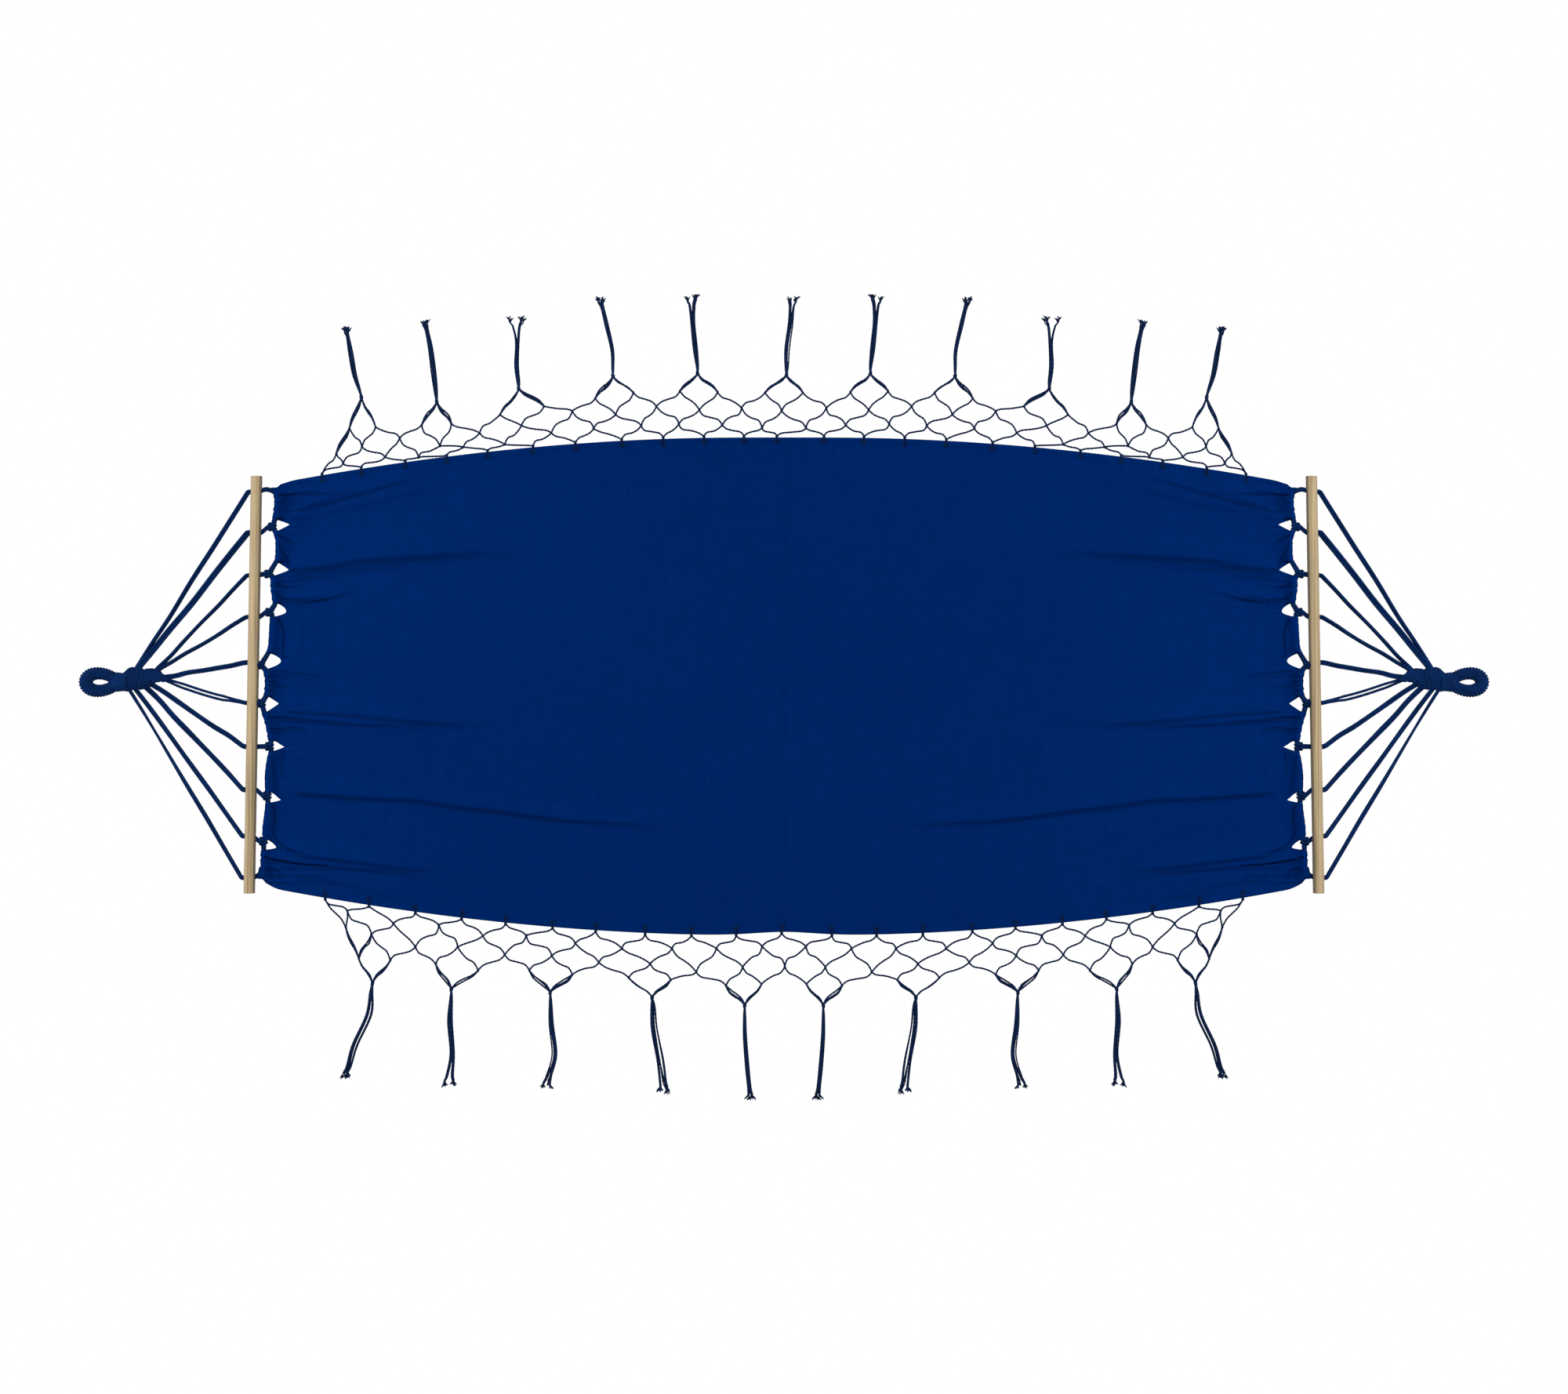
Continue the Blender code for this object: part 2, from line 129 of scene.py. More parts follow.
# Long folds that run in from the ends: points as x and y in mm, height, and width of the steep
# side, also in mm.
FOLDS = (
    (((940, 246), (860, 258), (792, 269), (630, 279), (466, 287)), 6.0, 12.0),
    (((945, 226), (860, 240), (780, 252), (600, 262)), 1.6, 9.0),
    (((955, 187), (903, 186), (858, 194), (800, 211)), 3.0, 4.0),
    (((952, -24), (825, -31), (760, -38), (655, -46), (520, -52)), 4.4, 8.5),
    (((975, -38), (916, -43), (825, -50), (740, -55), (650, -63)), 2.4, 3.5),
    (((935, -180), (812, -189), (708, -194), (616, -207), (550, -214), (466, -226), (400, -233), (318,
      -237), (207, -244), (100, -246)), 4.0, 7.0),
    (((955, -285), (909, -299), (825, -310), (714, -323), (620, -327)), 4.4, 8.5),
    (((985, -307), (920, -315), (825, -326), (727, -335), (640, -344)), 2.2, 5.0),
    (((930, -338), (838, -355), (747, -380), (680, -392)), 1.5, 7.0),
    (((962, 384), (922, 390), (864, 393), (800, 398)), 2.6, 4.0),
    (((930, 362), (897, 368), (838, 384), (760, 406), (640, 438)), 2.8, 5.0),
    (((945, 345), (825, 368), (695, 400), (560, 428)), 1.6, 9.0),
)
# Tucks where the casing tabs are gathered on the rope, and the turned edges of the casings that
# lie flat: points as x and y in mm, how deep the tuck is at its two ends, and its half width.
TUCKS = (
    (((968, 385), (945, 385.5), (922, 390), (895, 392)), 1.0, 0.55, 2.4),
    (((972, 370), (945, 371), (926, 374)), 0.8, 0.2, 2.0),
    (((967, 358), (942, 363)), 0.45, 0.2, 2.0),
    (((900, 367), (870, 376.5), (847, 387), (815, 394)), 0.6, 0.2, 2.6),
    (((967, 309), (952, 302), (938, 294)), 0.95, 0.4, 2.0),
    (((968, 306), (961, 284), (952, 266), (947, 253)), 0.5, 0.7, 3.0),
    (((970, 216), (960, 211.5), (948, 208.5)), 0.95, 0.7, 2.0),
    (((966, 218), (944, 221)), 0.4, 0.2, 1.8),
    (((972, 201), (963, 190.5), (950, 187), (922, 185.5), (907, 187.5), (880, 193)), 0.85, 0.4, 2.4),
    (((965, 147), (959, 133), (956.5, 115), (957, 100), (959, 82)), 0.85, 0.95, 1.9),
    (((986, 37.5), (972, 40.5), (950, 42)), 0.9, 0.5, 1.8),
    (((982, 47), (960, 48), (937, 45.5), (907, 42), (888, 37)), 0.5, 0.45, 2.6),
    (((985, 30), (975, 28.5), (962, 24)), 0.95, 0.6, 2.0),
    (((983, 11), (962, 6)), 0.5, 0.3, 2.2),
    (((984, -40), (957, -39), (937, -42), (900, -45), (845, -48)), 0.95, 0.45, 1.7),
    (((984, -60), (967, -61.5), (945, -58.5), (925, -60)), 0.95, 0.5, 1.8),
    (((921, -48), (914, -62)), 0.4, 0.3, 2.2),
    (((978, -114), (973, -144), (969, -176)), 0.3, 0.45, 3.2),
    (((957, -104), (960, -128), (961, -152)), 0.8, 0.4, 1.8),
    (((976, -208), (973, -220), (973, -241), (976, -259), (971, -272), (962, -282), (945, -293),
      (915, -301)), 0.8, 0.3, 2.4),
    (((994, -305), (982, -310), (967, -313), (945, -317.5), (915, -321), (870, -324)), 1.0, 0.75, 2.0),
    (((988, -325), (972, -331), (957, -342)), 0.9, 0.5, 1.8),
    (((990, -331), (975, -339), (960, -348)), 0.7, 0.4, 1.8),
    (((922, -342), (885, -345)), 0.3, 0.3, 2.4),
    (((918, 372), (917, 300)), 0.18, 0.18, 2.0), (((920, 140), (921, 90)), 0.2, 0.2, 2.0),
    (((921, -112), (921, -176)), 0.2, 0.2, 2.0),
)


# ---- mesh tools ----
class Shape:
    """Gathers vertices and faces, for one mesh object."""

    def __init__(self):
        self.verts = []
        self.faces = []
        self.shade_tones = []
        self.count = 0

    def add(self, verts, faces, shade_tone=None):
        self.verts.append(np.asarray(verts, float))
        self.shade_tones.append(np.zeros(len(verts)) if shade_tone is None else shade_tone.reshape(-1))
        self.faces += [tuple(i + self.count for i in face) for face in faces]
        self.count += len(verts)

    def add_grid(self, rings, closed=False, shade_tone=None):
        """rings[i, j]: skin between rings; closed joins the last to the first, else both are
        capped."""
        n, m = rings.shape[:2]
        index = np.arange(n * m).reshape(n, m)
        upper = index if closed else index[:-1]
        lower = np.roll(index, -1, axis=0) if closed else index[1:]
        quads = np.stack([upper, np.roll(upper, -1, axis=1), np.roll(lower, -1, axis=1), lower], -1)
        faces = [tuple(q) for q in quads.reshape(-1, 4).tolist()]
        if not closed:
            faces.append(tuple(index[0][::-1].tolist()))
            faces.append(tuple(index[-1].tolist()))
        self.add(rings.reshape(-1, 3), faces, shade_tone)

    def build(self, name, material, end, smooth=True):
        """The mesh object; what is drawn for the right end is mirrored for the left."""
        verts = np.concatenate(self.verts) * (SIGNS[end], 1.0, 1.0)
        faces = self.faces if end == "right" else [face[::-1] for face in self.faces]
        mesh = bpy.data.meshes.new(name)
        mesh.from_pydata(verts.tolist(), [], faces)
        mesh.update()
        if smooth:
            mesh.shade_smooth()
        mesh.materials.append(material)
        # painted shade per vertex: darker in the grooves between plies of cord and down the bar's flanks;
        # none on the cloth
        attribute = mesh.attributes.new("painted_shade", "FLOAT", "POINT")
        attribute.data.foreach_set("value", np.concatenate(self.shade_tones).astype(np.float32))
        obj = bpy.data.objects.new(name, mesh)
        bpy.context.collection.objects.link(obj)
        return obj


def smooth_path(points, step):
    """Evenly spaced points on a Catmull-Rom curve through the given ones."""
    p = np.asarray(points, float)
    p = np.vstack([2 * p[0] - p[1], p, 2 * p[-1] - p[-2]])
    t = np.linspace(0, 1, 17)[:-1, None]
    runs = []
    for a, b, c, d in zip(p, p[1:], p[2:], p[3:]):
        runs.append(0.5 * (2 * b + (c - a) * t + (2 * a - 5 * b + 4 * c - d) * t ** 2
                           + (3 * b - a - 3 * c + d) * t ** 3))
    dense = np.vstack(runs + [p[-2][None]])
    length = np.concatenate([[0], np.cumsum(np.linalg.norm(np.diff(dense, axis=0), axis=1))])
    count = max(3, int(round(length[-1] / step)) + 1)
    at = np.linspace(0, length[-1], count)
    return np.stack([np.interp(at, length, dense[:, i]) for i in range(3)], axis=1)


def frames(path, closed=False):
    """Tangent and two cross directions that don't twist along the path."""
    if closed:
        tangent = np.roll(path, -1, axis=0) - np.roll(path, 1, axis=0)
    else:
        tangent = np.gradient(path, axis=0)
    tangent /= np.linalg.norm(tangent, axis=1)[:, None]
    across = np.zeros_like(path)
    start = np.cross(tangent[0], (0.0, 0.0, 1.0))
    if np.linalg.norm(start) < 0.1:
        start = np.cross(tangent[0], (0.0, 1.0, 0.0))
    across[0] = start / np.linalg.norm(start)
    for i in range(1, len(path)):
        v = across[i - 1] - tangent[i] * across[i - 1].dot(tangent[i])
        across[i] = v / np.linalg.norm(v)
    return tangent, across, np.cross(tangent, across)


def twisted(shape, path, radius, pitch, sides, plies=3, phase=0.0, ends=1.0, closed=False):
    """Laid cord along a path: a lobed section that turns once in each pitch.  "ends" is how
    much the first and last ring of an open cord are narrowed."""
    _, across, up = frames(path, closed)
    step = np.linalg.norm(np.diff(path, axis=0), axis=1)
    s = np.concatenate([[0], np.cumsum(step)])
    turn = TURN * s / pitch + phase
    if closed:
        whole = s[-1] + np.linalg.norm(path[0] - path[-1])
        turn = TURN * s / whole * max(1, round(whole / pitch)) + phase
    angle = around(sides)
    lobe = np.abs(np.cos(plies / 2 * (angle[None, :] - turn[:, None])))
    r = radius * (0.84 + 0.22 * lobe ** 0.7)
    if not closed:
        r[[0, -1]] *= ends
    cos, sin = np.cos(angle)[:, None], np.sin(angle)[:, None]
    rings = path[:, None] + r[..., None] * (cos * across[:, None] + sin * up[:, None])
    # painted shade: vertices where the section dips between plies get a darker tone
    shape.add_grid(rings, closed, (1 - lobe) ** 1.5)


def around(count):
    """Angles of evenly spaced points round a circle."""
    return TURN * np.arange(count) / count


def smoothstep(t):
    t = np.clip(t, 0.0, 1.0)
    return t * t * (3 - 2 * t)


def bell(t):
    return np.exp(-np.square(t))


# ---- materials ----
CLOTH_BLUE = (0.0, 0.0152, 0.1040)
CLOTH_DEEP = (0.0, 0.0127, 0.0930)
# colour of the painted shade on steep fold sides and in tucks
CREASE_SHADE_BLUE = tuple(0.34 * c for c in CLOTH_BLUE)
CORD_BLUE = (0.0015, 0.0200, 0.0950)
CORD_DEEP = (0.0005, 0.0105, 0.0540)
NET_BLUE = (0.0045, 0.0185, 0.070)
NET_DEEP = (0.0026, 0.0105, 0.043)
WOOD_LIGHT = (0.395, 0.305, 0.172)
WOOD_PALE = (0.350, 0.265, 0.145)
WOOD_DARK = (0.225, 0.158, 0.080)
# colour of the painted shade down the bar's flanks
WOOD_FLANK_SHADE = (0.085, 0.066, 0.042)
YARNS = 190.0  # slubs of the cloth's yarns per metre, and its weave
WEAVE = 260.0
BLACK, WHITE = (0.0, 0.0, 0.0), (1.0, 1.0, 1.0)


class Look:
    """A material, with short ways to add nodes in front of its Principled shader."""

    def __init__(self, name):
        self.material = bpy.data.materials.new(name)
        self.material.use_nodes = True
        self.tree = self.material.node_tree
        self.coords = self.add("TexCoord").outputs["Object"]

    def feed(self, node, inputs):
        """Link each input to the output given for it, or set it to the constant given."""
        for key, value in inputs.items():
            socket = node.inputs[key]
            if isinstance(value, bpy.types.NodeSocket):
                self.tree.links.new(value, socket)
            else:
                socket.default_value = (*value, 1.0) if socket.type == "RGBA" else value

    def add(self, kind, inputs=None, **settings):
        node = self.tree.nodes.new("ShaderNode" + kind)
        for key, value in settings.items():
            setattr(node, key, value)
        self.feed(node, inputs or {})
        return node

    def noise(self, scale, detail, stretch=(1, 1, 1)):
        place = self.add("Mapping", {"Vector": self.coords, "Scale": stretch}).outputs["Vector"]
        return self.add("TexNoise", {"Vector": place, "Scale": scale, "Detail": detail}).outputs["Fac"]

    def wave(self, axis, scale):
        """Slightly uneven bands across one axis."""
        inputs = {"Vector": self.coords, "Scale": scale, "Distortion": 0.6, "Detail": 1.0,
                  "Detail Scale": 2.0}
        return self.add("TexWave", inputs, wave_type="BANDS", bands_direction=axis).outputs["Fac"]

    def ramp(self, factor, stops):
        node = self.add("ValToRGB", {"Fac": factor})
        elements = node.color_ramp.elements
        while len(elements) < len(stops):
            elements.new(0.5)
        for element, (place, colour) in zip(elements, stops):
            element.position = place
            element.color = (*colour, 1.0)
        return node.outputs["Color"]

    def mix(self, kind, factor, a, b):
        return self.add("Mix", {0: factor, 6: a, 7: b}, data_type="RGBA", blend_type=kind).outputs[2]

    def maths(self, operation, a, b):
        return self.add("Math", {0: a, 1: b}, operation=operation).outputs[0]

    def attribute(self, name):
        return self.add("Attribute", attribute_name=name).outputs["Fac"]

    def vary(self, colour, factor, low, high):
        """Multiply a colour by a grey that runs between two stops, each a place and a value."""
        grey = self.ramp(factor, [(place, (value,) * 3) for place, value in (low, high)])
        return self.mix("MULTIPLY", 1.0, colour, grey)

    def shade(self, inputs):
        """Feed the Principled shader; returns the material."""
        self.feed(self.tree.nodes["Principled BSDF"], inputs)
        return self.material

    def surface(self, colour, height, strength, distance, roughness, gloss):
        bump = self.add("Bump", {"Height": height, "Strength": strength, "Distance": distance})
        return self.shade({"Base Color": colour, "Normal": bump.outputs["Normal"],
                           "Roughness": roughness, "Specular IOR Level": gloss})


def cloth_material():
    """Plain-woven cotton canvas: heathered dye, crossing yarns, and painted shade in the creases."""
    look = Look("cotton_canvas")
    yarn = look.maths("ADD", look.noise(YARNS, 2.0, (0.12, 1.0, 1.0)),
                      look.noise(YARNS, 2.0, (1.0, 0.12, 1.0)))
    colour = look.ramp(look.noise(2.2, 4.0), ((0.35, CLOTH_DEEP), (0.68, CLOTH_BLUE)))
    colour = look.mix("MIX", 0.60, colour, CLOTH_BLUE)
    colour = look.vary(colour, look.maths("MULTIPLY", yarn, 0.5), (0.36, 0.93), (0.66, 1.08))
    colour = look.vary(colour, look.noise(420.0, 2.0), (0.30, 0.95), (0.72, 1.07))
    # painted shade: steep fold sides and tuck bottoms turn to the darker blue
    colour = look.mix("MIX", look.attribute("crease_shade"), colour, CREASE_SHADE_BLUE)
    weave = look.maths("MULTIPLY", look.wave("X", WEAVE), look.wave("Y", WEAVE))
    height = look.maths("ADD", weave, look.maths("MULTIPLY", yarn, 0.8))
    return look.surface(colour, height, 0.35, 0.35 * MM, roughness=1.0, gloss=0.0)


def cord_material(name, light, deep):
    """Laid cotton cord: dyed fibres, uneven dye, and shade in the grooves between the plies."""
    look = Look(name)
    fibre = look.noise(900.0, 3.0)
    colour = look.ramp(fibre, ((0.30, deep), (0.70, light)))
    colour = look.vary(colour, look.noise(38.0, 2.0), (0.30, 0.80), (0.70, 1.20))
    # painted shade: the colour darkens towards a near-black blue in the grooves between plies, where
    # shade falls
    painted_shade = look.maths("MULTIPLY", look.attribute("painted_shade"), 0.75)
    colour = look.mix("MIX", painted_shade, colour, tuple(0.3 * c for c in deep))
    return look.surface(colour, fibre, 0.4, 0.3 * MM, roughness=0.95, gloss=0.06)


def wood_material():
    """Sanded pale softwood dowel, grain along its length (y), and painted shade down its flanks."""
    look = Look("pale_dowel_wood")
    grain = look.noise(150.0, 2.0, (1.6, 0.018, 1.6))
    vein = look.noise(420.0, 1.0, (1.4, 0.008, 1.4))
    colour = look.ramp(grain, ((0.34, WOOD_DARK), (0.50, WOOD_PALE), (0.72, WOOD_LIGHT)))
    colour = look.vary(colour, vein, (0.35, 0.91), (0.60, 1.04))
    colour = look.vary(colour, look.noise(7.0, 2.0), (0.35, 0.92), (0.65, 1.06))
    # painted shade: the flanks darken towards a dark brown, strongly on the inner side
    flank_shade = look.maths("MULTIPLY", look.attribute("painted_shade"), 0.85)
    colour = look.mix("MIX", flank_shade, colour, WOOD_FLANK_SHADE)
    height = look.maths("ADD", grain, vein)
    return look.surface(colour, height, 0.10, 0.20 * MM, roughness=0.62, gloss=0.3)


def floor_material():
    """Light table: glows evenly, so nothing throws a shadow on it."""
    return Look("studio_sweep").shade({"Base Color": BLACK, "Roughness": 1.0,
                                       "Specular IOR Level": 0.0, "Emission Color": WHITE,
                                       "Emission Strength": 1.0})


CLOTH = cloth_material()
CORD = cord_material("navy_cotton_cord", CORD_BLUE, CORD_DEEP)
NET_CORD = cord_material("navy_net_cord", NET_BLUE, NET_DEEP)
WOOD = wood_material()


# ---- where the end pieces lie ----
def edge_y(edge, x):
    """Long edge of the cloth; edge is 1 at +Y and -1 at -Y, where it dips at its middle."""
    middle = BED_TOP_Y + 1 * MM if edge > 0 else BED_BOTTOM_Y - 1 * MM
    start, rate = TOP_CORNER if edge > 0 else BOTTOM_CORNER
    corner = rate * np.square(np.maximum(0.0, np.abs(x) - start))
    x2 = np.square(x)
    tuck = 6 * MM * np.exp(-x2 / 0.08 ** 2) if edge < 0 else 0.0
    return middle - edge * (EDGE_DROP * x2 * x2 / (x2 + EDGE_FLAT) + corner + tuck)


TAB_ENDS = np.concatenate([[TAB_TOP], NOTCHES[:, :2].mean(1), [TAB_BOTTOM]])
TAB_Y = (TAB_ENDS[:-1] + TAB_ENDS[1:]) / 2


def rope_curve():
    """Centre line of the edge rope as it lies, tugged outwards by the cords: sampled y and x."""
    points = np.concatenate([ROPE_RUN, KNOTS])
    points = points[np.argsort(points[:, 1])]
    fine = np.arange(points[0, 1] - 0.01, points[-1, 1] + 0.01, 0.5 * MM)
    x = np.interp(fine, points[:, 1], points[:, 0])
    kernel = np.exp(-0.5 * (np.arange(-8, 9) * 0.5 / 1.5) ** 2)
    return fine, np.convolve(np.pad(x, 8, mode="edge"), kernel / kernel.sum(), mode="valid")


ROPE_SAMPLES = rope_curve()


def rope_x(y):
    return np.interp(y, *ROPE_SAMPLES)


def cord_y(k):
    """y of cord k in its bar hole, from the box of its CAD piece, which starts there."""
    low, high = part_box("clew_cord_right_%02d" % (k + 1))
    return high.y - CAD_CORD_R if (low.y + high.y) / 2 > CLEW_Y else low.y + CAD_CORD_R


# ---- cloth ----
def column_ys():
    """y of the cloth's columns at its end: fine where a notch starts, wider between."""
    stops = [(TAB_BOTTOM, 2.2)]
    for high, low, _, _, _ in NOTCHES[::-1]:
        stops += [(low - 3 * MM, 0.7), (low + 1.5 * MM, 1.5), (high - 1.5 * MM, 0.7),
                  (high + 3 * MM, 2.2)]
    ys = []
    for (low, spacing), (high, _) in zip(stops, stops[1:] + [(TAB_TOP, 0)]):
        count = max(1, int(round((high - low) / (spacing * MM))))
        ys += list(low + (high - low) * np.arange(count) / count)
    return np.array(ys + [TAB_TOP])


def notch_shape(ys):
    """For each column: 1 on a tab and 0 in a notch, and how far in the notch reaches there."""
    tab = np.ones_like(ys)
    tip_x = rope_x(ys)
    for high, low, x, y, blunt in NOTCHES:
        inside = np.minimum(high - ys, ys - low)
        tab = np.minimum(tab, smoothstep((1.0 * MM - inside) / (3.0 * MM)))
        t = np.where(ys > y, (ys - y) / (high - y), (y - ys) / (y - low))
        end = np.where(ys > y, rope_x(high), rope_x(low)) - 5.5 * MM
        reach = end + (x - end) * (1 - np.minimum(1, t) ** blunt)
        tip_x = np.where(inside > -1 * MM, reach, tip_x)
    return tab, tip_x


def fold_height(x, y):
    """Height of the long soft folds above the flat cloth."""
    height = np.zeros_like(x)
    for points, tall, steep in FOLDS:
        px, py = (np.array(v)[::-1] * MM for v in zip(*points))
        line = smooth_path(np.stack([px, py, 0 * px], 1), 4 * MM)
        where = np.interp(x, line[:, 0], line[:, 1])
        run = (px[-1] - x) / (px[-1] - px[0])
        envelope = smoothstep((run + 0.02) / 0.05) * (1 - smoothstep((run - 0.50) / 0.50))
        off = (y - where) / (steep * MM)
        height += tall * MM * envelope * bell(np.where(off > 0, off / 3.0, off))
    return height


def gather_height(x, y, rng):
    """Fine gathers that fan out of the casing tabs."""
    strength = np.interp(y, TAB_Y[::-1], TAB_GATHER[::-1])
    height = np.zeros_like(x)
    for pitch, reach, tall in GATHERS:
        phase = rng.uniform(0, TURN)
        drift = 0.9 * np.sin(y * 31 + phase) + 0.5 * np.sin(y * 77 + 2 * phase)
        ridge = 0.5 + 0.5 * np.sin(TURN * y / pitch + 3 * drift + phase)
        away = np.maximum(0.0, rope_x(y) - x)
        height += tall * MM * strength * ridge ** 1.6 * np.exp(-away / reach)
    return height


def tuck_depth(x, y):
    """How deep in a tuck each point lies, 0 to 1, and the height of the cloth puffed beside it."""
    depth, puff = np.zeros_like(x), np.zeros_like(x)
    for points, first, last, width in TUCKS:
        line = smooth_path([(px * MM, py * MM, 0.0) for px, py in points], 1.5 * MM)[:, :2]
        w = width * MM
        low, high = line.min(0) - 6 * w, line.max(0) + 6 * w
        near = (x > low[0]) & (x < high[0]) & (y > low[1]) & (y < high[1])
        away = np.hypot(x[near][:, None] - line[:, 0], y[near][:, None] - line[:, 1])
        strength = first + (last - first) * away.argmin(1) / (len(line) - 1)
        away = away.min(1)
        depth[near] = np.maximum(depth[near], strength * bell(away / w))
        puff[near] = np.maximum(puff[near], strength * bell(away / (3 * w)))
    return depth, puff


def lie_height(x, y, rng):
    """Slack of cloth that lies on the ground: broad low waves, none at the seam at x = 0."""
    height = np.zeros_like(x)
    for _ in range(9):
        kx, ky = rng.uniform(2, 11), rng.uniform(4, 26)
        phase = rng.uniform(0, TURN)
        height += np.cos(kx * x) * np.sin(ky * y + phase)
    return 0.35 * MM * (height / 3 + 1.0)


def casing_section(ye):
    """End of each column: 1 on a tab and 0 in a notch, then centre x and z and radius of the
    casing, which shrinks to a thin edge in a notch."""
    tab, reach = notch_shape(ye)
    pucker = np.sin(ye / 0.0021) + 0.7 * np.sin(ye / 0.0013 + 2)
    swell = 1 + 0.11 * pucker * np.interp(ye, TAB_Y[::-1], TAB_GATHER[::-1])
    rim_z = RIM_R + 0.3 * MM
    centre_x = tab * rope_x(ye) + (1 - tab) * np.minimum(reach, rope_x(ye) - 2 * MM)
    centre_z = rim_z + tab * (ROPE_Z - rim_z)
    return tab, centre_x, centre_z, RIM_R + tab * (CASING_R * swell - RIM_R)


def cloth_plan(ye, start_x):
    """x and y of the points of the top, and their distance from the nearer long edge."""
    main = np.linspace(0.0, END_ZONE_X, MAIN_ROWS)
    zone = np.linspace(0.0, 1.0, END_ROWS)[1:]
    xs = np.concatenate([np.repeat(main[:, None], len(ye), 1),
                         END_ZONE_X + (start_x - END_ZONE_X) * zone[:, None]])
    low, high = edge_y(-1, xs), edge_y(1, xs)
    share = (ye - TAB_BOTTOM) / (TAB_TOP - TAB_BOTTOM)
    outer = smoothstep((np.abs(2 * share - 1) - 0.85) / 0.15)
    ys = low + (high - low) * share
    ys += nearing(xs, start_x, 22 - 13 * outer) * (ye - ys)
    return xs, ys, np.minimum(high - ys, ys - low)


def nearing(xs, start_x, run):
    """0 on the open cloth, rising to 1 over the last run mm before the casing starts."""
    return smoothstep((xs - start_x) / (run * MM) + 1)


def top_height(xs, ys, edge_gap, tab, start_x, start_z):
    """Height of the top, with folds, gathers, hems, stitch lines and tucks; and tuck depth."""
    rng = np.random.default_rng(11)
    flat = CLOTH_TOP + fold_height(xs, ys) + gather_height(xs, ys, rng) + lie_height(xs, ys, rng)
    rise = tab * nearing(xs, start_x, 15)
    calm = (1 - tab) * nearing(xs, start_x, 8)
    z = flat + rise * (start_z - flat)
    z += calm * (start_z - z)
    hem = 0.5 * MM * smoothstep((HEM_W - edge_gap) / (1.5 * MM))
    stitch = 0.45 * MM * bell((edge_gap - STITCH_IN) / (1.1 * MM))
    end_hem = 0.4 * MM * smoothstep((xs - END_HEM_X) / (3 * MM)) * (1 - rise)
    end_stitch = 0.5 * MM * bell((xs - END_HEM_X - 3 * MM) / (1.6 * MM))
    z += (hem - stitch + end_hem - end_stitch) * (1 - calm) * (1 - rise)
    depth, puff = tuck_depth(xs, ys)
    return z + (2.4 * puff - 3.1 * depth) * MM * (1 - calm), depth


def under_height(xs, top_z, tab, start_x, casing_z):
    """Height of the underside: the cloth's thickness below the top, above the ground."""
    z = np.maximum(0.15 * MM, top_z - CLOTH_T)
    near = nearing(xs, start_x, 20)
    z += near * (np.minimum(z, casing_z) - z)
    return z + tab * near * (casing_z - z)


def cloth_faces(rows, columns, half):
    """Quads over the sheet, and the strips that close its long edges and its seam at x = 0.
    half is the number of rows in the top, and in the underside."""
    index = np.arange(rows * columns).reshape(rows, columns)
    quads = np.stack([index[:-1, :-1], index[1:, :-1], index[1:, 1:], index[:-1, 1:]], -1)
    faces = [tuple(q) for q in quads.reshape(-1, 4).tolist()]
    for column, flip in ((0, 1), (columns - 1, -1)):
        line = index[:, column].tolist()
        for i in range(half - 1):
            faces.append((line[i], line[rows - 1 - i], line[rows - 2 - i], line[i + 1])[::flip])
        faces.append(tuple(line[half - 1:rows - half + 1])[::-flip])
    first, last = index[0].tolist(), index[-1].tolist()
    for j in range(columns - 1):
        faces.append((first[j], first[j + 1], last[j + 1], last[j]))
    return faces


def cloth_half(end):
    """One half of the bed, closed: top, round the casing or the notch edge, and back below."""
    ye = column_ys()
    tab, centre_x, centre_z, radius = casing_section(ye)
    angles = np.linspace(WRAP_START, -math.pi / 2, WRAP_ROWS)[:, None]
    wrap = np.stack([centre_x + radius * np.cos(angles), np.repeat(ye[None], WRAP_ROWS, 0),
                     centre_z + radius * np.sin(angles)], -1)
    start_x, start_z = wrap[0, :, 0], wrap[0, :, 2]
    xs, ys, edge_gap = cloth_plan(ye, start_x)
    top_z, depth = top_height(xs, ys, edge_gap, tab, start_x, start_z)
    under_z = under_height(xs, top_z, tab, start_x, wrap[-1, :, 2])
    top, bottom = (np.stack([xs, ys, z], -1) for z in (top_z, under_z))
    grid = np.concatenate([top, wrap[1:], bottom[::-1]])
    shape = Shape()
    shape.add(grid.reshape(-1, 3), cloth_faces(*grid.shape[:2], len(top)))
    obj = shape.build("bed_cloth_" + end, CLOTH, end)
    paint_crease_shade(obj, top, depth)
    return obj


def paint_crease_shade(obj, top, depth):
    """Painted shade: the cloth is darkened where it turns steeply away from the back light and in the
    bottom of its tucks.
    """
    slope = np.gradient(top[..., 2], axis=1) / np.maximum(1e-5, np.gradient(top[..., 1], axis=1))
    shade_amount = np.zeros(len(obj.data.vertices), np.float32)
    shade_amount[:slope.size] = np.clip(np.maximum(slope * 1.1, 1.05 * depth), 0.0, 1.0).reshape(-1)
    obj.data.attributes.new("crease_shade", "FLOAT", "POINT").data.foreach_set("value", shade_amount)


def bed(end):
    obj = cloth_half(end)
    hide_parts("bed_" + end, *(["bed_center"] if end == "left" else []))
    bend_at_fold(obj)
    return obj


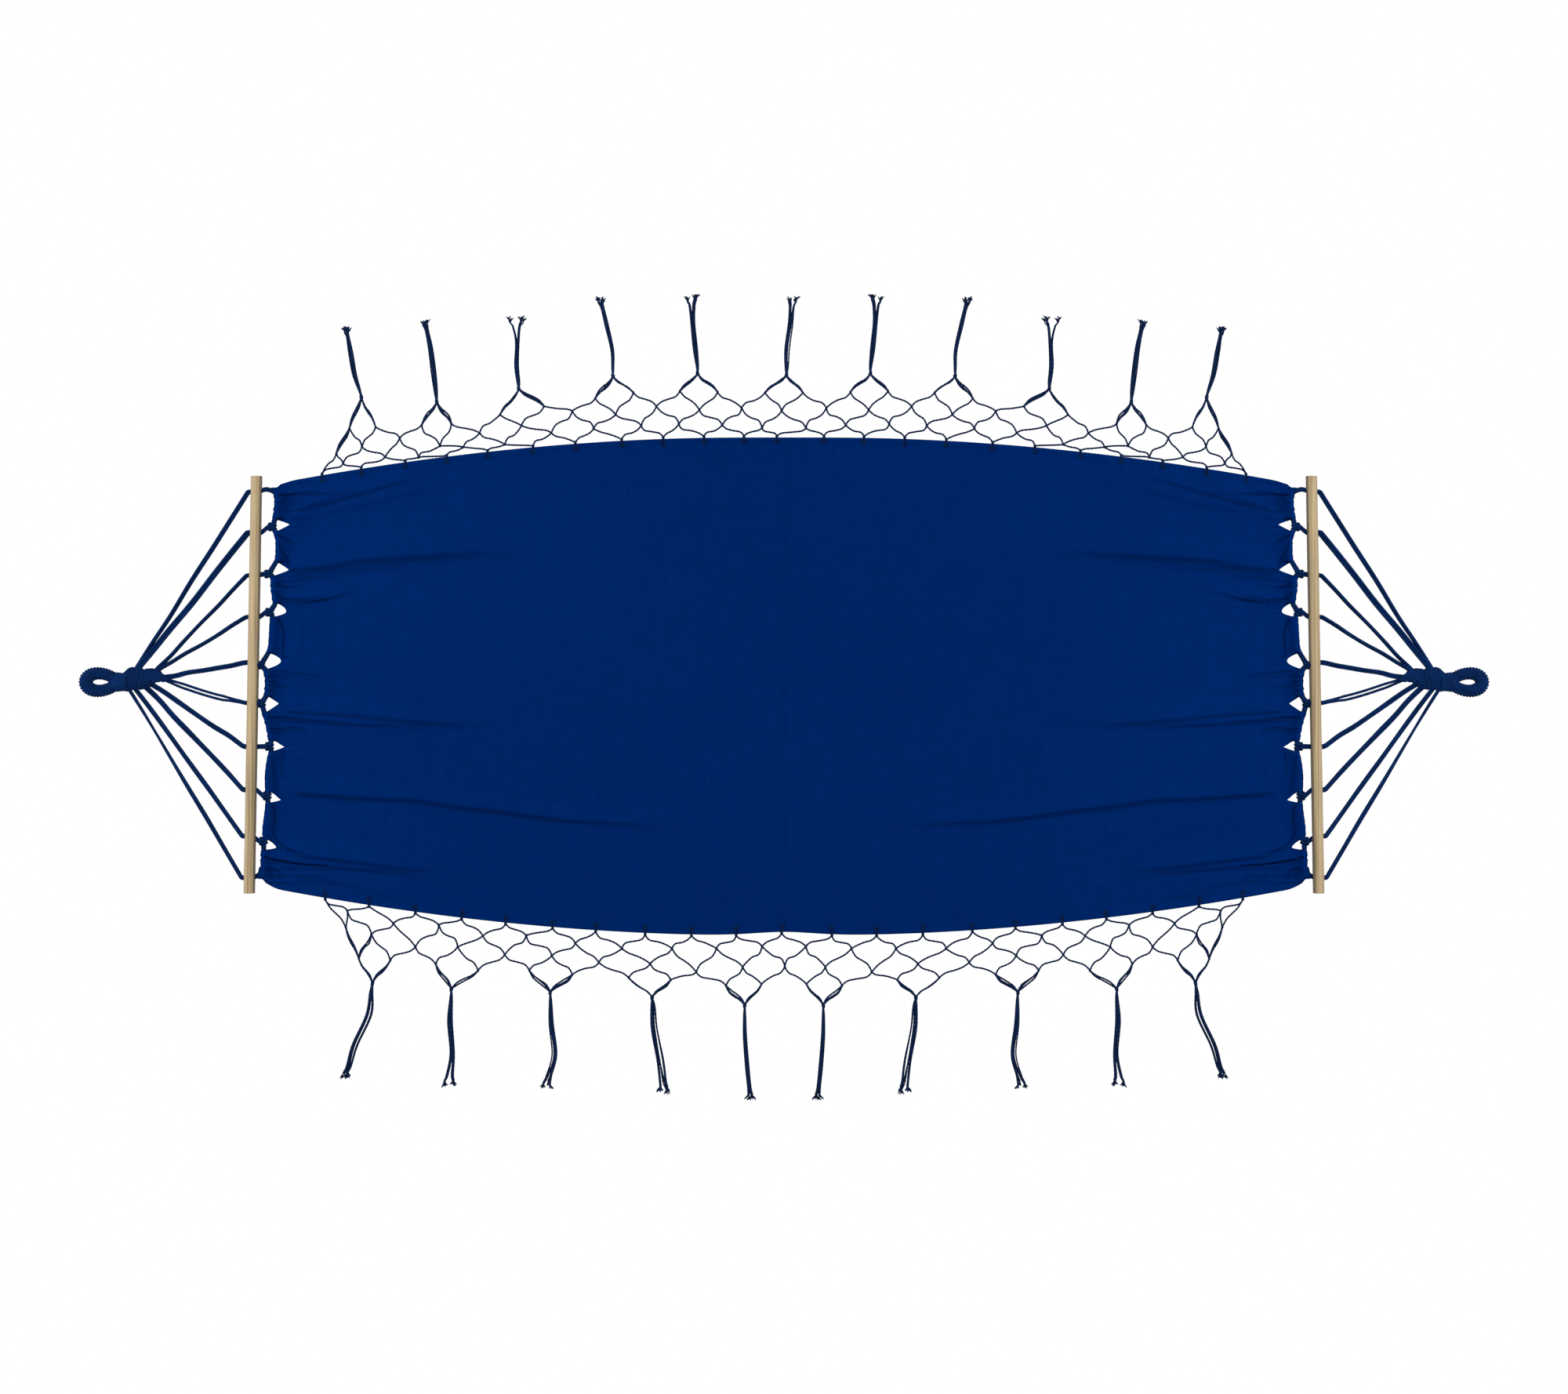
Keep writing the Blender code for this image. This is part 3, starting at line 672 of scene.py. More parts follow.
def bend_at_fold(obj):
    """Bake the object's placement into its mesh."""
    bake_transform(obj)


# ---- edge rope, links and bars ----
ROPE_R = 4.7 * MM
STRAND_R = 2.65 * MM
LAY_PITCH = 10 * MM  # one turn of the plies of a link or clew strand
BAR_R = 11.0 * MM
BAR_INSET = 0.7 * MM  # the bar's middle line is this much inside its holes' line
BAR_EASE = 1.0 * MM
BAR_TIP = ((0.0, 0.55), (0.3 * MM, 0.90))  # distance from the bar's end, share of radius
# A cross hole and its flared mouths: distance along the hole from the bar's middle and radius, mm
HOLE = ((-16, 6.6), (-9.2, 5.4), (-8.2, 4.9), (8.2, 4.9), (9.2, 5.4), (16, 6.6))


def attach(obj, node, body):
    """Hide the CAD node the piece stands for and hang the piece on the body it rides on."""
    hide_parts(node)
    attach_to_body(obj, body)


def cord_piece(shape, node, look, body, end):
    """The piece that stands for a CAD node of cord, riding on one of the bodies of its end."""
    obj = shape.build("%s_%s" % (node, look), CORD, end)
    attach(obj, node, "%s_%s" % (body, end))
    return obj


def oval(x, y, z, wide, deep, count):
    """Points round an upright oval across the hammock's length."""
    angle = around(count)
    return np.stack([x + 0 * angle, y + wide * np.cos(angle), z + deep * np.sin(angle)], 1)


def edge_rope(end):
    ys = np.arange(TAB_BOTTOM + 3 * MM, TAB_TOP - 3 * MM, 1.4 * MM)
    path = np.stack([rope_x(ys), ys, np.full(len(ys), ROPE_Z)], 1)
    near = np.abs(ys[:, None] - KNOTS[None, :, 1]).min(1)
    swollen = ROPE_R * (1 + 0.12 * bell(near / (14 * MM)))
    shape = Shape()
    twisted(shape, path, swollen[:, None], pitch=17 * MM, sides=15, ends=0.5)
    cord_piece(shape, "edge_rope_" + end, "laid", "bed_end", end)


# The hitch in section across the rope: distance towards the bar in mm, spacing of the two
# strands in strand radii, height over the rope centre in mm.
HITCH = ((9.5, 0.85, 3.4), (5.5, 0.85, 4.8), (0.5, 0.95, 5.9), (-4.4, 1.0, 4.2),
         (-6.2, 1.1, 0.0), (-4.4, 1.3, -4.0), (0.5, 1.6, -4.9), (4.8, 2.1, -3.6),
         (7.2, 2.3, 1.2), (7.0, 1.7, 5.8))
CROWN = (7.0, 8.2)


def doubled(run, crown):
    """Path of a strand along the run, over the crown and back beside itself.  Each point of the
    run is its x, y and z, and the step to the returning strand in x and y, in strand radii."""
    there, back = ([(x + way * u * STRAND_R, y + way * v * STRAND_R, z) for x, y, z, u, v in run]
                   for way in (-1, 1))
    return smooth_path(there + [crown] + back[::-1], 1.3 * MM)


def corner_path(k):
    """Doubled cord from the bar hole into the end of the casing, round the rope and back."""
    inward = -1 if k == 0 else 1
    y_end = (TAB_TOP if k == 0 else TAB_BOTTOM) + inward * 5 * MM
    y_hole = cord_y(k)
    x_bar, x_end = bar_line(y_hole), rope_x(y_end)
    run = ((x_bar + 4 * MM, y_hole, BAR_Z, 0, 0.85 * inward),
           (x_bar - 4 * MM, y_hole, BAR_Z, 0, 0.85 * inward),
           (0.35 * x_bar + 0.65 * (x_end + 8 * MM), y_end - inward * 1.5 * MM, BAR_Z - 1 * MM,
            0.34, 0.765 * inward),
           (x_end + 2.5 * MM, y_end + inward * 4 * MM, ROPE_Z + 1 * MM, 0.68, 0.425 * inward),
           (x_end - 0.5 * MM, y_end + inward * 14 * MM, ROPE_Z + 1 * MM, 0.85, 0))
    return doubled(run, (x_end - 0.5 * MM, y_end + inward * 17 * MM, ROPE_Z + 0.5 * MM))


def hitch_path(k):
    """Doubled cord from the bar hole, hitched round the edge rope, and back to the hole."""
    x_knot, y_knot = KNOTS[k - 1]
    y_hole = cord_y(k)
    x_bar = bar_line(y_hole)
    room = min(0.75, (x_bar - 6 * MM - x_knot) / (12 * MM))
    run = [(x_bar + 4 * MM, y_hole, BAR_Z, 0, 0.85), (x_bar - 4 * MM, y_hole, BAR_Z, 0, 0.85)]
    if x_bar - x_knot > 28 * MM:
        run.append((x_bar - 11 * MM, y_hole + 0.05 * (y_knot - y_hole), BAR_Z, 0, 0.8))
    if x_bar - x_knot > 36 * MM:
        run.append((x_knot + 15 * MM, y_knot + 0.22 * (y_hole - y_knot), BAR_Z, 0, 0.8))
    run += [(x_knot + u * (room if u > 0 else 1.0) * MM, y_knot, ROPE_Z + w * MM, 0, v)
            for u, v, w in HITCH]
    return doubled(run, (x_knot + CROWN[0] * room * MM, y_knot, ROPE_Z + CROWN[1] * MM))


def link(end, k):
    path = corner_path(k) if k in (0, CORDS - 1) else hitch_path(k)
    path[:, 2] = np.maximum(path[:, 2], STRAND_R + 0.1 * MM)
    shape = Shape()
    twisted(shape, path, STRAND_R, pitch=LAY_PITCH, sides=10, phase=k)
    cord_piece(shape, "link_%s_%02d" % (end, k + 1), "hitched", "bar", end)


def spreader_bar(end):
    """Dowel with eased ends and a countersunk cross hole for each cord."""
    low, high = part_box("spreader_bar_right")
    profile = [(low.y + t, share) for t, share in BAR_TIP]
    profile += [(y, 1.0) for y in np.linspace(low.y + BAR_EASE, high.y - BAR_EASE, 81)]
    profile += [(high.y - t, share) for t, share in BAR_TIP[::-1]]
    angle = around(48)
    rings = []
    for y, share in profile:
        wobble = (1 + 0.006 * math.sin(9 * y) + 0.004 * math.sin(31 * y)) / 1.01
        r = BAR_R * share * wobble
        rings.append(np.stack([bar_line(y) - BAR_INSET + r * np.cos(angle), np.full(48, y),
                               BAR_R + 0.05 * MM + r * np.sin(angle)], 1))
    shape = Shape()
    shape.add_grid(np.array(rings)[:, ::-1])
    obj = shape.build("spreader_bar_%s_dowel" % end, WOOD, end)
    cutter = hole_cutter(end)
    cut = obj.modifiers.new("holes", "BOOLEAN")
    cut.object, cut.operation, cut.solver = cutter, "DIFFERENCE", "EXACT"
    apply_modifiers(obj)
    bpy.data.objects.remove(cutter, do_unlink=True)
    obj.data.set_sharp_from_angle(angle=math.radians(40))
    paint_flank_shade(obj, end)
    attach(obj, "spreader_bar_" + end, "bar_" + end)


def paint_flank_shade(obj, end):
    """Painted shade: darken the bar's inner flank strongly and its outer one a little, by vertex, where
    it lies in shade from the side lights.
    """
    place = np.empty(3 * len(obj.data.vertices))
    obj.data.vertices.foreach_get("co", place)
    x, y, _ = place.reshape(-1, 3).T
    inwards = (bar_line(y) - BAR_INSET - x * SIGNS[end]) / BAR_R
    flank_shade = smoothstep((inwards - 0.56) / 0.24) + 0.30 * smoothstep((-0.1 - inwards) / 0.7)
    obj.data.attributes["painted_shade"].data.foreach_set("value", flank_shade.astype(np.float32))


def hole_cutter(end):
    """Ten cross holes as one cutter, each a little wider at its two mouths."""
    shape = Shape()
    for k in range(CORDS):
        y = cord_y(k)
        x = bar_line(y)
        rings = [oval(x + out * MM, y, BAR_Z, r * MM, 0.78 * r * MM, 20) for out, r in HOLE]
        shape.add_grid(np.array(rings))
    return shape.build("hole_cutter", WOOD, end, smooth=False)


def apply_modifiers(obj):
    """Replace the mesh by its evaluated one and drop the modifiers."""
    mesh = bpy.data.meshes.new_from_object(obj.evaluated_get(bpy.context.evaluated_depsgraph_get()))
    obj.modifiers.clear()
    obj.data = mesh


# ---- clew ----
CLEW_R = 2.7 * MM  # of one strand, before its own size
# Lay of each cord, from +Y to -Y: distance of its entry from the neck's inner end, from the
# neck's middle line and above it, and sideways sag half way, all in mm; size of its strands; and
# spacing of the two strands as seen from above at the bar, half way and at the neck, where 0 is
# one strand on the other, 1 is side by side and more is apart.
CLEW_LAY = (
    (57, 29, -3.5, 0, 0.97, (1.0, 0.85, 0.2)), (53, 27.5, 1.5, 0, 1.2, (0.9, 1.0, 1.0)),
    (16.5, 27, -1, 0, 0.95, (0.6, 0.40, 0.45)), (12, 25.5, -1, 0, 0.98, (0.6, 0.45, 0.5)),
    (4.5, 9, -1, 0, 1.0, (0.98, 0.85, 1.0)), (1.5, 4.5, -1, -4.5, 0.95, (0.5, 2.2, 0.9)),
    (31.5, -3, -1, 0, 1.02, (0.97, 1.0, 1.0)), (40.5, -9, -1, 0, 1.10, (0.8, 1.0, 1.0)),
    (61.5, -11, -1, 0, 1.04, (0.9, 0.97, 0.9)), (73.5, -11, -1, 0, 0.98, (0.95, 1.0, 0.0)))


def clew_route(k):
    """Centre line of cord k from its bar hole, over the ground, to inside the neck."""
    y = cord_y(k)
    x = bar_line(y)
    out, offset, above, sag = CLEW_LAY[k][:4]
    entry = np.array((NECK_LO.x + out * MM, CLEW_Y + offset * MM, CLEW_Z + above * MM))
    mouth = np.array((x + 15 * MM, y, BAR_Z))
    way = (entry - mouth) * (1, 1, 0)
    way /= np.linalg.norm(way)
    lead = mouth + way * 8 * MM - (0, 0, 1.2 * MM)
    rng = np.random.default_rng(40 + k)
    points = [(x + 4 * MM, y, BAR_Z), (x + 10.5 * MM, y, BAR_Z),
              (mouth[0] + 0.5 * MM, y + 1.5 * MM * way[1], BAR_Z), lead]
    sideways = np.array((-way[1], way[0], 0))
    for t, clear in ((0.14, 1.5), (0.3, 0.6), (0.5, 0.6), (0.7, 0.6), (0.86, 1.5)):
        bow = rng.uniform(-1.0, 1.0) * 1.1 + sag * math.sin(math.pi * t)
        place = lead + (entry - lead) * t + sideways * bow * MM
        place[2] = CLEW_R + clear * MM
        points.append(place)
    points.append(entry)
    inner = entry + way * 9 * MM
    points.append((inner[0], 0.6 * inner[1] + 0.4 * (CLEW_Y + 0.5 * offset * MM), CLEW_Z))
    return smooth_path(points, 1.5 * MM), rng


def clew_cord(end, k):
    """Two laid strands that roll slowly round each other."""
    route, rng = clew_route(k)
    _, across, up = frames(route)
    s = np.linspace(0, 1, len(route))
    size, (at_bar, half_way, at_neck) = CLEW_LAY[k][4:]
    strand_r = CLEW_R * size
    spread = np.interp(s, (0, 0.06, 0.5, 0.94, 1), (0.85, at_bar, half_way, at_neck, at_neck))
    spread = np.convolve(np.pad(spread, 12, mode="edge"), np.ones(25) / 25, mode="valid")
    spread -= 0.05 * (1 + np.sin(TURN * (s * 2.3 + rng.uniform()))) * np.sin(math.pi * s)
    roll = np.arccos(np.clip(spread, 0.0, 1.0))
    gap = strand_r * np.clip(0.88 + 1.6 * (spread - 1.05), 0.88, 1.45)
    shape = Shape()
    lift = strand_r * np.sin(roll) * np.sin(math.pi * s) ** 0.3
    centre = route + np.stack([0 * s, 0 * s, 0.85 * lift], 1)
    for way in (-1, 1):
        strand = centre + way * gap[:, None] * (np.cos(roll)[:, None] * across
                                                + np.sin(roll)[:, None] * up)
        strand[:, 2] = np.maximum(strand[:, 2], strand_r + 0.15 * MM)
        twisted(shape, strand, strand_r, pitch=LAY_PITCH, sides=10, phase=k + way)
    obj = cord_piece(shape, "clew_cord_%s_%02d" % (end, k + 1), "doubled", "clew", end)


# The plaited neck: distance from its inner end, offset of its middle and half width, in mm
NECK_SHAPE = np.array(((-5, 3, 2), (0, 5, 5), (6, 7.5, 8), (13.5, 10.5, 10.5), (21, 12, 13),
                       (28.5, 11, 15), (36, 8, 18), (43.5, 5.5, 19.5), (51, 6, 21), (58.5, 6, 21.5),
                       (66, 6.5, 22), (73.5, 4.5, 20.2), (81, 0.7, 17.2), (92, 0, 16))) * MM
NECK_CORDS = 9
NECK_PITCH = 13 * MM  # along the neck, from one over to the next
NECK_STRAND_R = 2.35 * MM
NECK_FLAT, NECK_DEEP = 0.55, 6.2 * MM  # half thickness as a share of half width, and its limit
THROAT_DEEP = 7.8 * MM  # half thickness of the whipping
WHIP_TURNS = 8


def neck_plan(x):
    """Middle line and half width of the neck, x from its inner end."""
    return CLEW_Y + np.interp(x, *NECK_SHAPE.T[:2]), np.interp(x, *NECK_SHAPE.T[::2])


def neck_warp(shape):
    """Cords along the neck, one layer above and one below, that weave up and down."""
    x = np.arange(-4 * MM, 84 * MM, 1.3 * MM)
    centre, width = neck_plan(x)
    depth = np.minimum(width * NECK_FLAT, NECK_DEEP)
    for layer in (1, -1):
        for j in range(NECK_CORDS):
            share = 2 * j / (NECK_CORDS - 1) - 1
            lift = math.sqrt(1 - 0.8 * share * share)
            weave = 0.8 * MM * np.cos(TURN * x / NECK_PITCH + 2.2 * j)
            y = centre + share * (width - NECK_STRAND_R) + 0.7 * MM * np.sin(x / (7 * MM) + 2.1 * j)
            z = CLEW_Z + layer * (depth * lift - 0.4 * MM + weave)
            path = smooth_path(np.stack([NECK_LO.x + x, y, z], 1)[::2], 1.3 * MM)
            twisted(shape, path, NECK_STRAND_R, pitch=8 * MM, sides=9, phase=j, ends=0.6)


def neck_weft(shape):
    """Crossing cord: slanted turns round the neck that ripple over the cords along it."""
    turn = around(39)
    share, upper = np.cos(turn), np.sign(np.sin(turn))
    for i, x in enumerate(np.arange(5 * MM, 72 * MM, NECK_PITCH / 3)):
        middle, half = neck_plan(x)
        half -= 1.5 * MM
        deep = min(half * NECK_FLAT, NECK_DEEP) + 0.3 * MM
        ripple = 0.8 * MM * np.cos(1.1 * (NECK_CORDS - 1) * (share + 1) + 2.1 * i)
        z = CLEW_Z + upper * (deep * np.abs(np.sin(turn)) ** 0.6 + ripple * (np.abs(share) < 0.93))
        slant = (3.0 if i % 2 else -2.0) * MM * share
        ring = np.stack([NECK_LO.x + x + slant, middle + half * share, z], 1)
        twisted(shape, ring, 1.8 * MM, pitch=7 * MM, sides=8, closed=True)


def neck_core(shape):
    """Solid middle, so that nothing shows through between the cords."""
    rings = []
    for x in np.arange(-2 * MM, 86 * MM, 4 * MM):
        middle, half = neck_plan(x)
        half -= 1.2 * MM
        deep = max(1.0 * MM, min(half * NECK_FLAT, 6.6 * MM))
        rings.append(oval(NECK_LO.x + x, middle, CLEW_Z, half, deep, 16))
    shape.add_grid(np.array(rings))


def neck(end):
    """Cords plaited over and under a crossing cord, tapering towards the bar."""
    shape = Shape()
    neck_warp(shape)
    neck_weft(shape)
    neck_core(shape)
    cord_piece(shape, "neck_" + end, "plaited", "clew", end)


def whipping(end):
    """Tight turns of cord round the throat, between neck and eye."""
    shape = Shape()
    bow = 3.4 * MM * np.cos(around(44)) ** 2
    for i, x in enumerate(np.linspace(WHIP_LO.x - 2 * MM, WHIP_HI.x + 11 * MM, WHIP_TURNS)):
        ring = oval(x - bow, CLEW_Y, CLEW_Z, (15.0 + 0.35 * abs(i - 3)) * MM, THROAT_DEEP, 44)
        twisted(shape, ring, 2.6 * MM, pitch=9 * MM, sides=10, closed=True)
    cord_piece(shape, "whipping_" + end, "turns", "clew", end)


EYE_POINTS = 120
EYE_FLAT = 0.86  # height of the loop's section, as a share of its width
SERVE_R, SERVE_PITCH, SERVE_STEPS = 2.4 * MM, 3.9 * MM, 26


def eye_line():
    """Centre line of the eye, a drop shape blunt at its tip, and the radius of the served loop,
    which is thickest there and thins towards the throat."""
    t = around(EYE_POINTS)
    x0, x1 = EYE_LO.x + 8.3 * MM, EYE_HI.x - 13.8 * MM
    share = 0.5 + 0.5 * np.cos(t)
    wide = 16.5 * MM * np.sin(t) * (0.80 + 0.40 * share)
    line = np.stack([(x0 + x1) / 2 + (x1 - x0) / 2 * np.cos(t), CLEW_Y + wide,
                     np.full(EYE_POINTS, CLEW_Z)], 1)
    return line, (11.6 + 2.0 * share ** 2)[:, None] * MM


def hanging_eye(end):
    """Loop of cords served over with one cord, turn beside turn."""
    line, radius = eye_line()
    up = np.array((0.0, 0.0, EYE_FLAT))
    out = np.cross(frames(line, closed=True)[0], (0.0, 0.0, 1.0))
    shape = Shape()
    rings = [line + (radius - 1.5 * MM) * (math.cos(a) * out + math.sin(a) * up) for a in around(20)]
    shape.add_grid(np.stack(rings, 1), closed=True)

    whole = np.linalg.norm(np.roll(line, -1, axis=0) - line, axis=1).sum()
    steps = int(round(whole / SERVE_PITCH)) * SERVE_STEPS
    a = (TURN * np.arange(steps) / SERVE_STEPS)[:, None]
    place = np.arange(steps) / steps * EYE_POINTS
    before = place.astype(int)
    middle, away, r = (v[before] + (place - before)[:, None] * (np.roll(v, -1, axis=0) - v)[before]
                       for v in (line, out, radius))
    path = middle + (r - 0.95 * SERVE_R) * (np.cos(a) * away + np.sin(a) * up)
    twisted(shape, path, SERVE_R, pitch=8 * MM, sides=8, closed=True)
    cord_piece(shape, "hanging_eye_" + end, "served", "clew", end)


# ---- fringes ----
NET_R = 1.7 * MM
NET_Z = 2.0 * MM
NET_PITCH = 5.5 * MM
TASSEL_CORDS, FRAY_FIBRES = 7, 6
FORK_FROM = 0.78  # share of its length at which a tassel's tip forks
SEWN_OUT = 2.4 * MM  # knots of the sewn row lie this far outside the cloth
# Knots of one half of each fringe from the middle outwards, as x and y in mm.  The first of
# "sewn" and of "row2", and the top's first head, are the middle ones: they don't mirror.
# Tassels: sideways lean a third of the way, two thirds and at the tip, then length, how wide the
# bundle lies, and how far its tip forks.
FRINGES = {
    "top": dict(
        edge=1,
        sewn=(-13.5, 76.5, 153, 231, 310.5, 399, 480, 567, 645, 724.5, 808.5, 883.5),
        row1=((42, 514), (118, 520), (201, 522), (273, 519), (364, 513), (445, 505), (534, 483),
              (613, 478), (699, 458), (763, 459), (843, 447)),
        row2=((-4.5, 547), (81, 553), (162, 549), (244, 556), (322, 540), (405, 547), (502, 519),
              (582, 505), (658, 480), (735, 495), (807, 478), (856, 466)),
        row3=((36, 582), (127, 583), (199, 585), (288, 582), (361, 571), (459, 556), (543, 540),
              (636, 522), (693, 520), (781, 516), (831, 514)),
        heads=((4.5, 615), (165, 618), (327, 613), (507, 589), (664, 564), (808, 573)),
        tassels=((1.5, 7.5, 12, 148, 1.0, 3), (4.5, 9, 12, 148, 0.95, 5),
                 (1.5, 12, 24, 148, 0.65, 1), (4.5, 3, 6, 135, 0.95, 9),
                 (6, 12, 22.5, 154, 1.05, 0), (13.5, 21, 29, 131, 0.85, 0))),
    "bottom": dict(
        edge=-1,
        sewn=(-4.5, 91.5, 177, 265.5, 360, 442.5, 532.5, 616.5, 705, 793.5, 877.5),
        row1=((42, -477), (129, -481), (214, -481), (310, -481), (399, -471), (493, -456),
              (576, -457), (660, -436), (747, -433), (835, -409)),
        row2=((1.5, -516), (79, -516), (168, -526), (256, -510), (354, -508), (444, -495),
              (534, -493), (624, -478), (705, -478), (789, -454), (838, -441)),
        row3=((43, -549), (111, -552), (217, -541), (297, -537), (405, -531), (487, -523),
              (585, -523), (666, -511), (753, -504), (813, -501)),
        heads=((75, -589), (252, -574), (447, -564), (636, -558), (787, -547)),
        tassels=((0, -4.5, -10.5, 178, 0.70, 1), (-4.5, -15, -22.5, 182, 1.35, 4),
                 (-1.5, -8, 7.5, 181, 1.0, 3), (3, -1.5, 4.5, 186, 1.15, 6),
                 (7.5, 34, 51, 180, 1.15, 1))),
}


class Net:
    """Knots and strands of one half of a netted fringe, drawn into one mesh."""

    def __init__(self, spec, end):
        self.spec = spec
        self.edge = spec["edge"]
        self.sign = SIGNS[end]
        self.shape = Shape()
        self.rng = np.random.default_rng(5 if self.edge > 0 else 6)
        self.rand = self.rng.uniform

    def knots(self, row, shared_first=False):
        """Knots of a row; the first of a shared row lies on the same spot for both halves."""
        found = np.array(self.spec[row], float) * MM
        if shared_first:
            found[0, 0] *= self.sign
        return found

    def sewn(self):
        """Knots of the row that is sewn to the hem; its first is shared."""
        x = np.array(self.spec["sewn"]) * MM
        x[0] *= self.sign
        return np.stack([x, edge_y(self.edge, x) + self.edge * SEWN_OUT], 1)

    def cord(self, path, radius, **more):
        twisted(self.shape, path, radius, plies=2, **{"pitch": NET_PITCH, "sides": 6, **more})

    def strand(self, a, b, curl, copies=1):
        """Cord from a to b; curl bends it into an S that leaves both knots along y."""
        way = b - a
        normal = np.array((-way[1], way[0])) / np.linalg.norm(way)
        for c in range(copies):
            s0, s1 = curl * self.rand(0.05, 1.10, 2)
            sag = self.rand(-1.2, 1.2) * MM
            fan = (c - (copies - 1) / 2) * 1.3 * NET_R
            shares = ((0.12 - 0.07 * s0, 0.14 + 0.05 * s0), (0.29 - 0.11 * s0, 0.31 + 0.09 * s0),
                      (0.5, 0.5), (0.71 + 0.11 * s1, 0.69 - 0.09 * s1),
                      (0.88 + 0.07 * s1, 0.86 - 0.05 * s1))
            points = [a]
            for (fx, fy), wide in zip(shares, (0.45, 0.9, 1.1, 0.9, 0.45)):
                points.append(a + way * (fx, fy) + normal * (fan * wide + sag * wide))
            points.append(b)
            z = NET_Z + self.rand(0, 0.5) * MM + 1.0 * MM * (c % 2)
            path = smooth_path([(*p, z) for p in points], 2.0 * MM)
            self.cord(path, NET_R, phase=self.rand(0, 6))

    def knot(self, place, size=1.0):
        """Small overhand knot."""
        t = around(30)
        wide = 2 + np.cos(3 * t)
        turn = self.rand(0, 6)
        x, y = 0.75 * wide * np.cos(2 * t), wide * np.sin(2 * t)
        lean = self.rand(-0.5, 0.5)
        cos, sin, across = math.cos(lean), math.sin(lean), 0.66 * MM * size
        ring = np.stack([place[0] + across * (x * cos - y * sin), place[1] + across * (x * sin + y * cos),
                         NET_Z + 0.6 * MM + 0.9 * MM * size * np.sin(3 * t + turn)], 1)
        self.cord(ring, 1.25 * MM * size, closed=True)

    def stitches(self, place):
        """The net cord sewn through the hem: two short turns over the cloth edge."""
        x, y = place[0], place[1] - self.edge * SEWN_OUT
        lean = self.rand(-1.5, 1.5) * MM
        for shift in (-2.4 * MM, 2.4 * MM):
            reach = self.rand(12.5, 16.5) * MM
            run = ((shift + lean, reach, 1.0), (shift + lean, reach - 1.5 * MM, 2.9),
                   (shift + 0.5 * lean, 6 * MM, 3.1), (shift * 0.8, 1.5 * MM, 2.9),
                   (shift * 0.3, -2.6 * MM, 2.0))
            points = [(x + along, y - self.edge * inward, z * MM) for along, inward, z in run]
            self.cord(smooth_path(points, 1.5 * MM), 1.15 * MM)

    def tassel(self, head, lean_a, lean_b, lean_tip, length, bulk, fork):
        """Bundle of cord ends from a head knot, splayed and frayed at its tip."""
        self.knot(head, 1.5)
        self.knot(head + (0.6 * MM, self.edge * 3.2 * MM), 1.3)
        along = np.array((0.0, self.edge * length * MM))
        slot = self.rng.integers(0, 3)
        split = self.rand(0.3, 1.6)
        for j in range(TASSEL_CORDS):
            layer = j // 4
            lane = j % 4 - 1.5 + 0.5 * layer
            drift = self.rand(-0.7, 0.7, 4)
            apart = split * (1 if lane > slot - 1 else -1)
            way = fork * (1 if lane > 0 else -1)
            points = [(*head, NET_Z + 1.5 * MM)]
            for i, (share, lean, wide) in enumerate((
                    (0.10, 0.25 * lean_a, 1.3), (0.34, lean_a, 2.0), (0.66, lean_b, 2.2),
                    (0.88, 0.35 * lean_b + 0.65 * lean_tip, 2.0))):
                opened = apart * math.sin(math.pi * share)
                forked = way * max(0.0, share - FORK_FROM) / (1 - FORK_FROM)
                x = lean + bulk * (lane * wide + drift[i] + opened) + forked
                points.append((*(head + along * share + (x * MM, 0)),
                               NET_Z + layer * 2.1 * MM + 0.3 * MM * self.rand()))
            fan = lane * self.rand(2.2, 3.6)
            tip = head + along * self.rand(0.93, 0.97) + ((lean_tip + fan + way) * MM, 0)
            points.append((*tip, NET_Z + layer * 1.2 * MM))
            path = smooth_path(points, 2.2 * MM)
            self.cord(path, 1.4 * MM, pitch=6 * MM)
            self.fray(path[-1], fan)

    def fray(self, start, fan):
        """Untwisted fibres at the end of one tassel cord."""
        for _ in range(FRAY_FIBRES):
            spread = self.rand(-0.7, 0.7) + 0.05 * fan
            reach = self.rand(5.5, 10.5) * MM
            end = start[:2] + reach * np.array((spread, self.edge))
            bend = start[:2] + 0.5 * reach * np.array((0.4 * spread, self.edge))
            height = max(0.7 * MM, start[2] + self.rand(-1.0, 1.0) * MM)
            path = smooth_path([start, (*bend, start[2]), (*end, height)], 2.0 * MM)
            self.cord(path, 1.0 * MM, pitch=11 * MM, sides=4, ends=0.5)

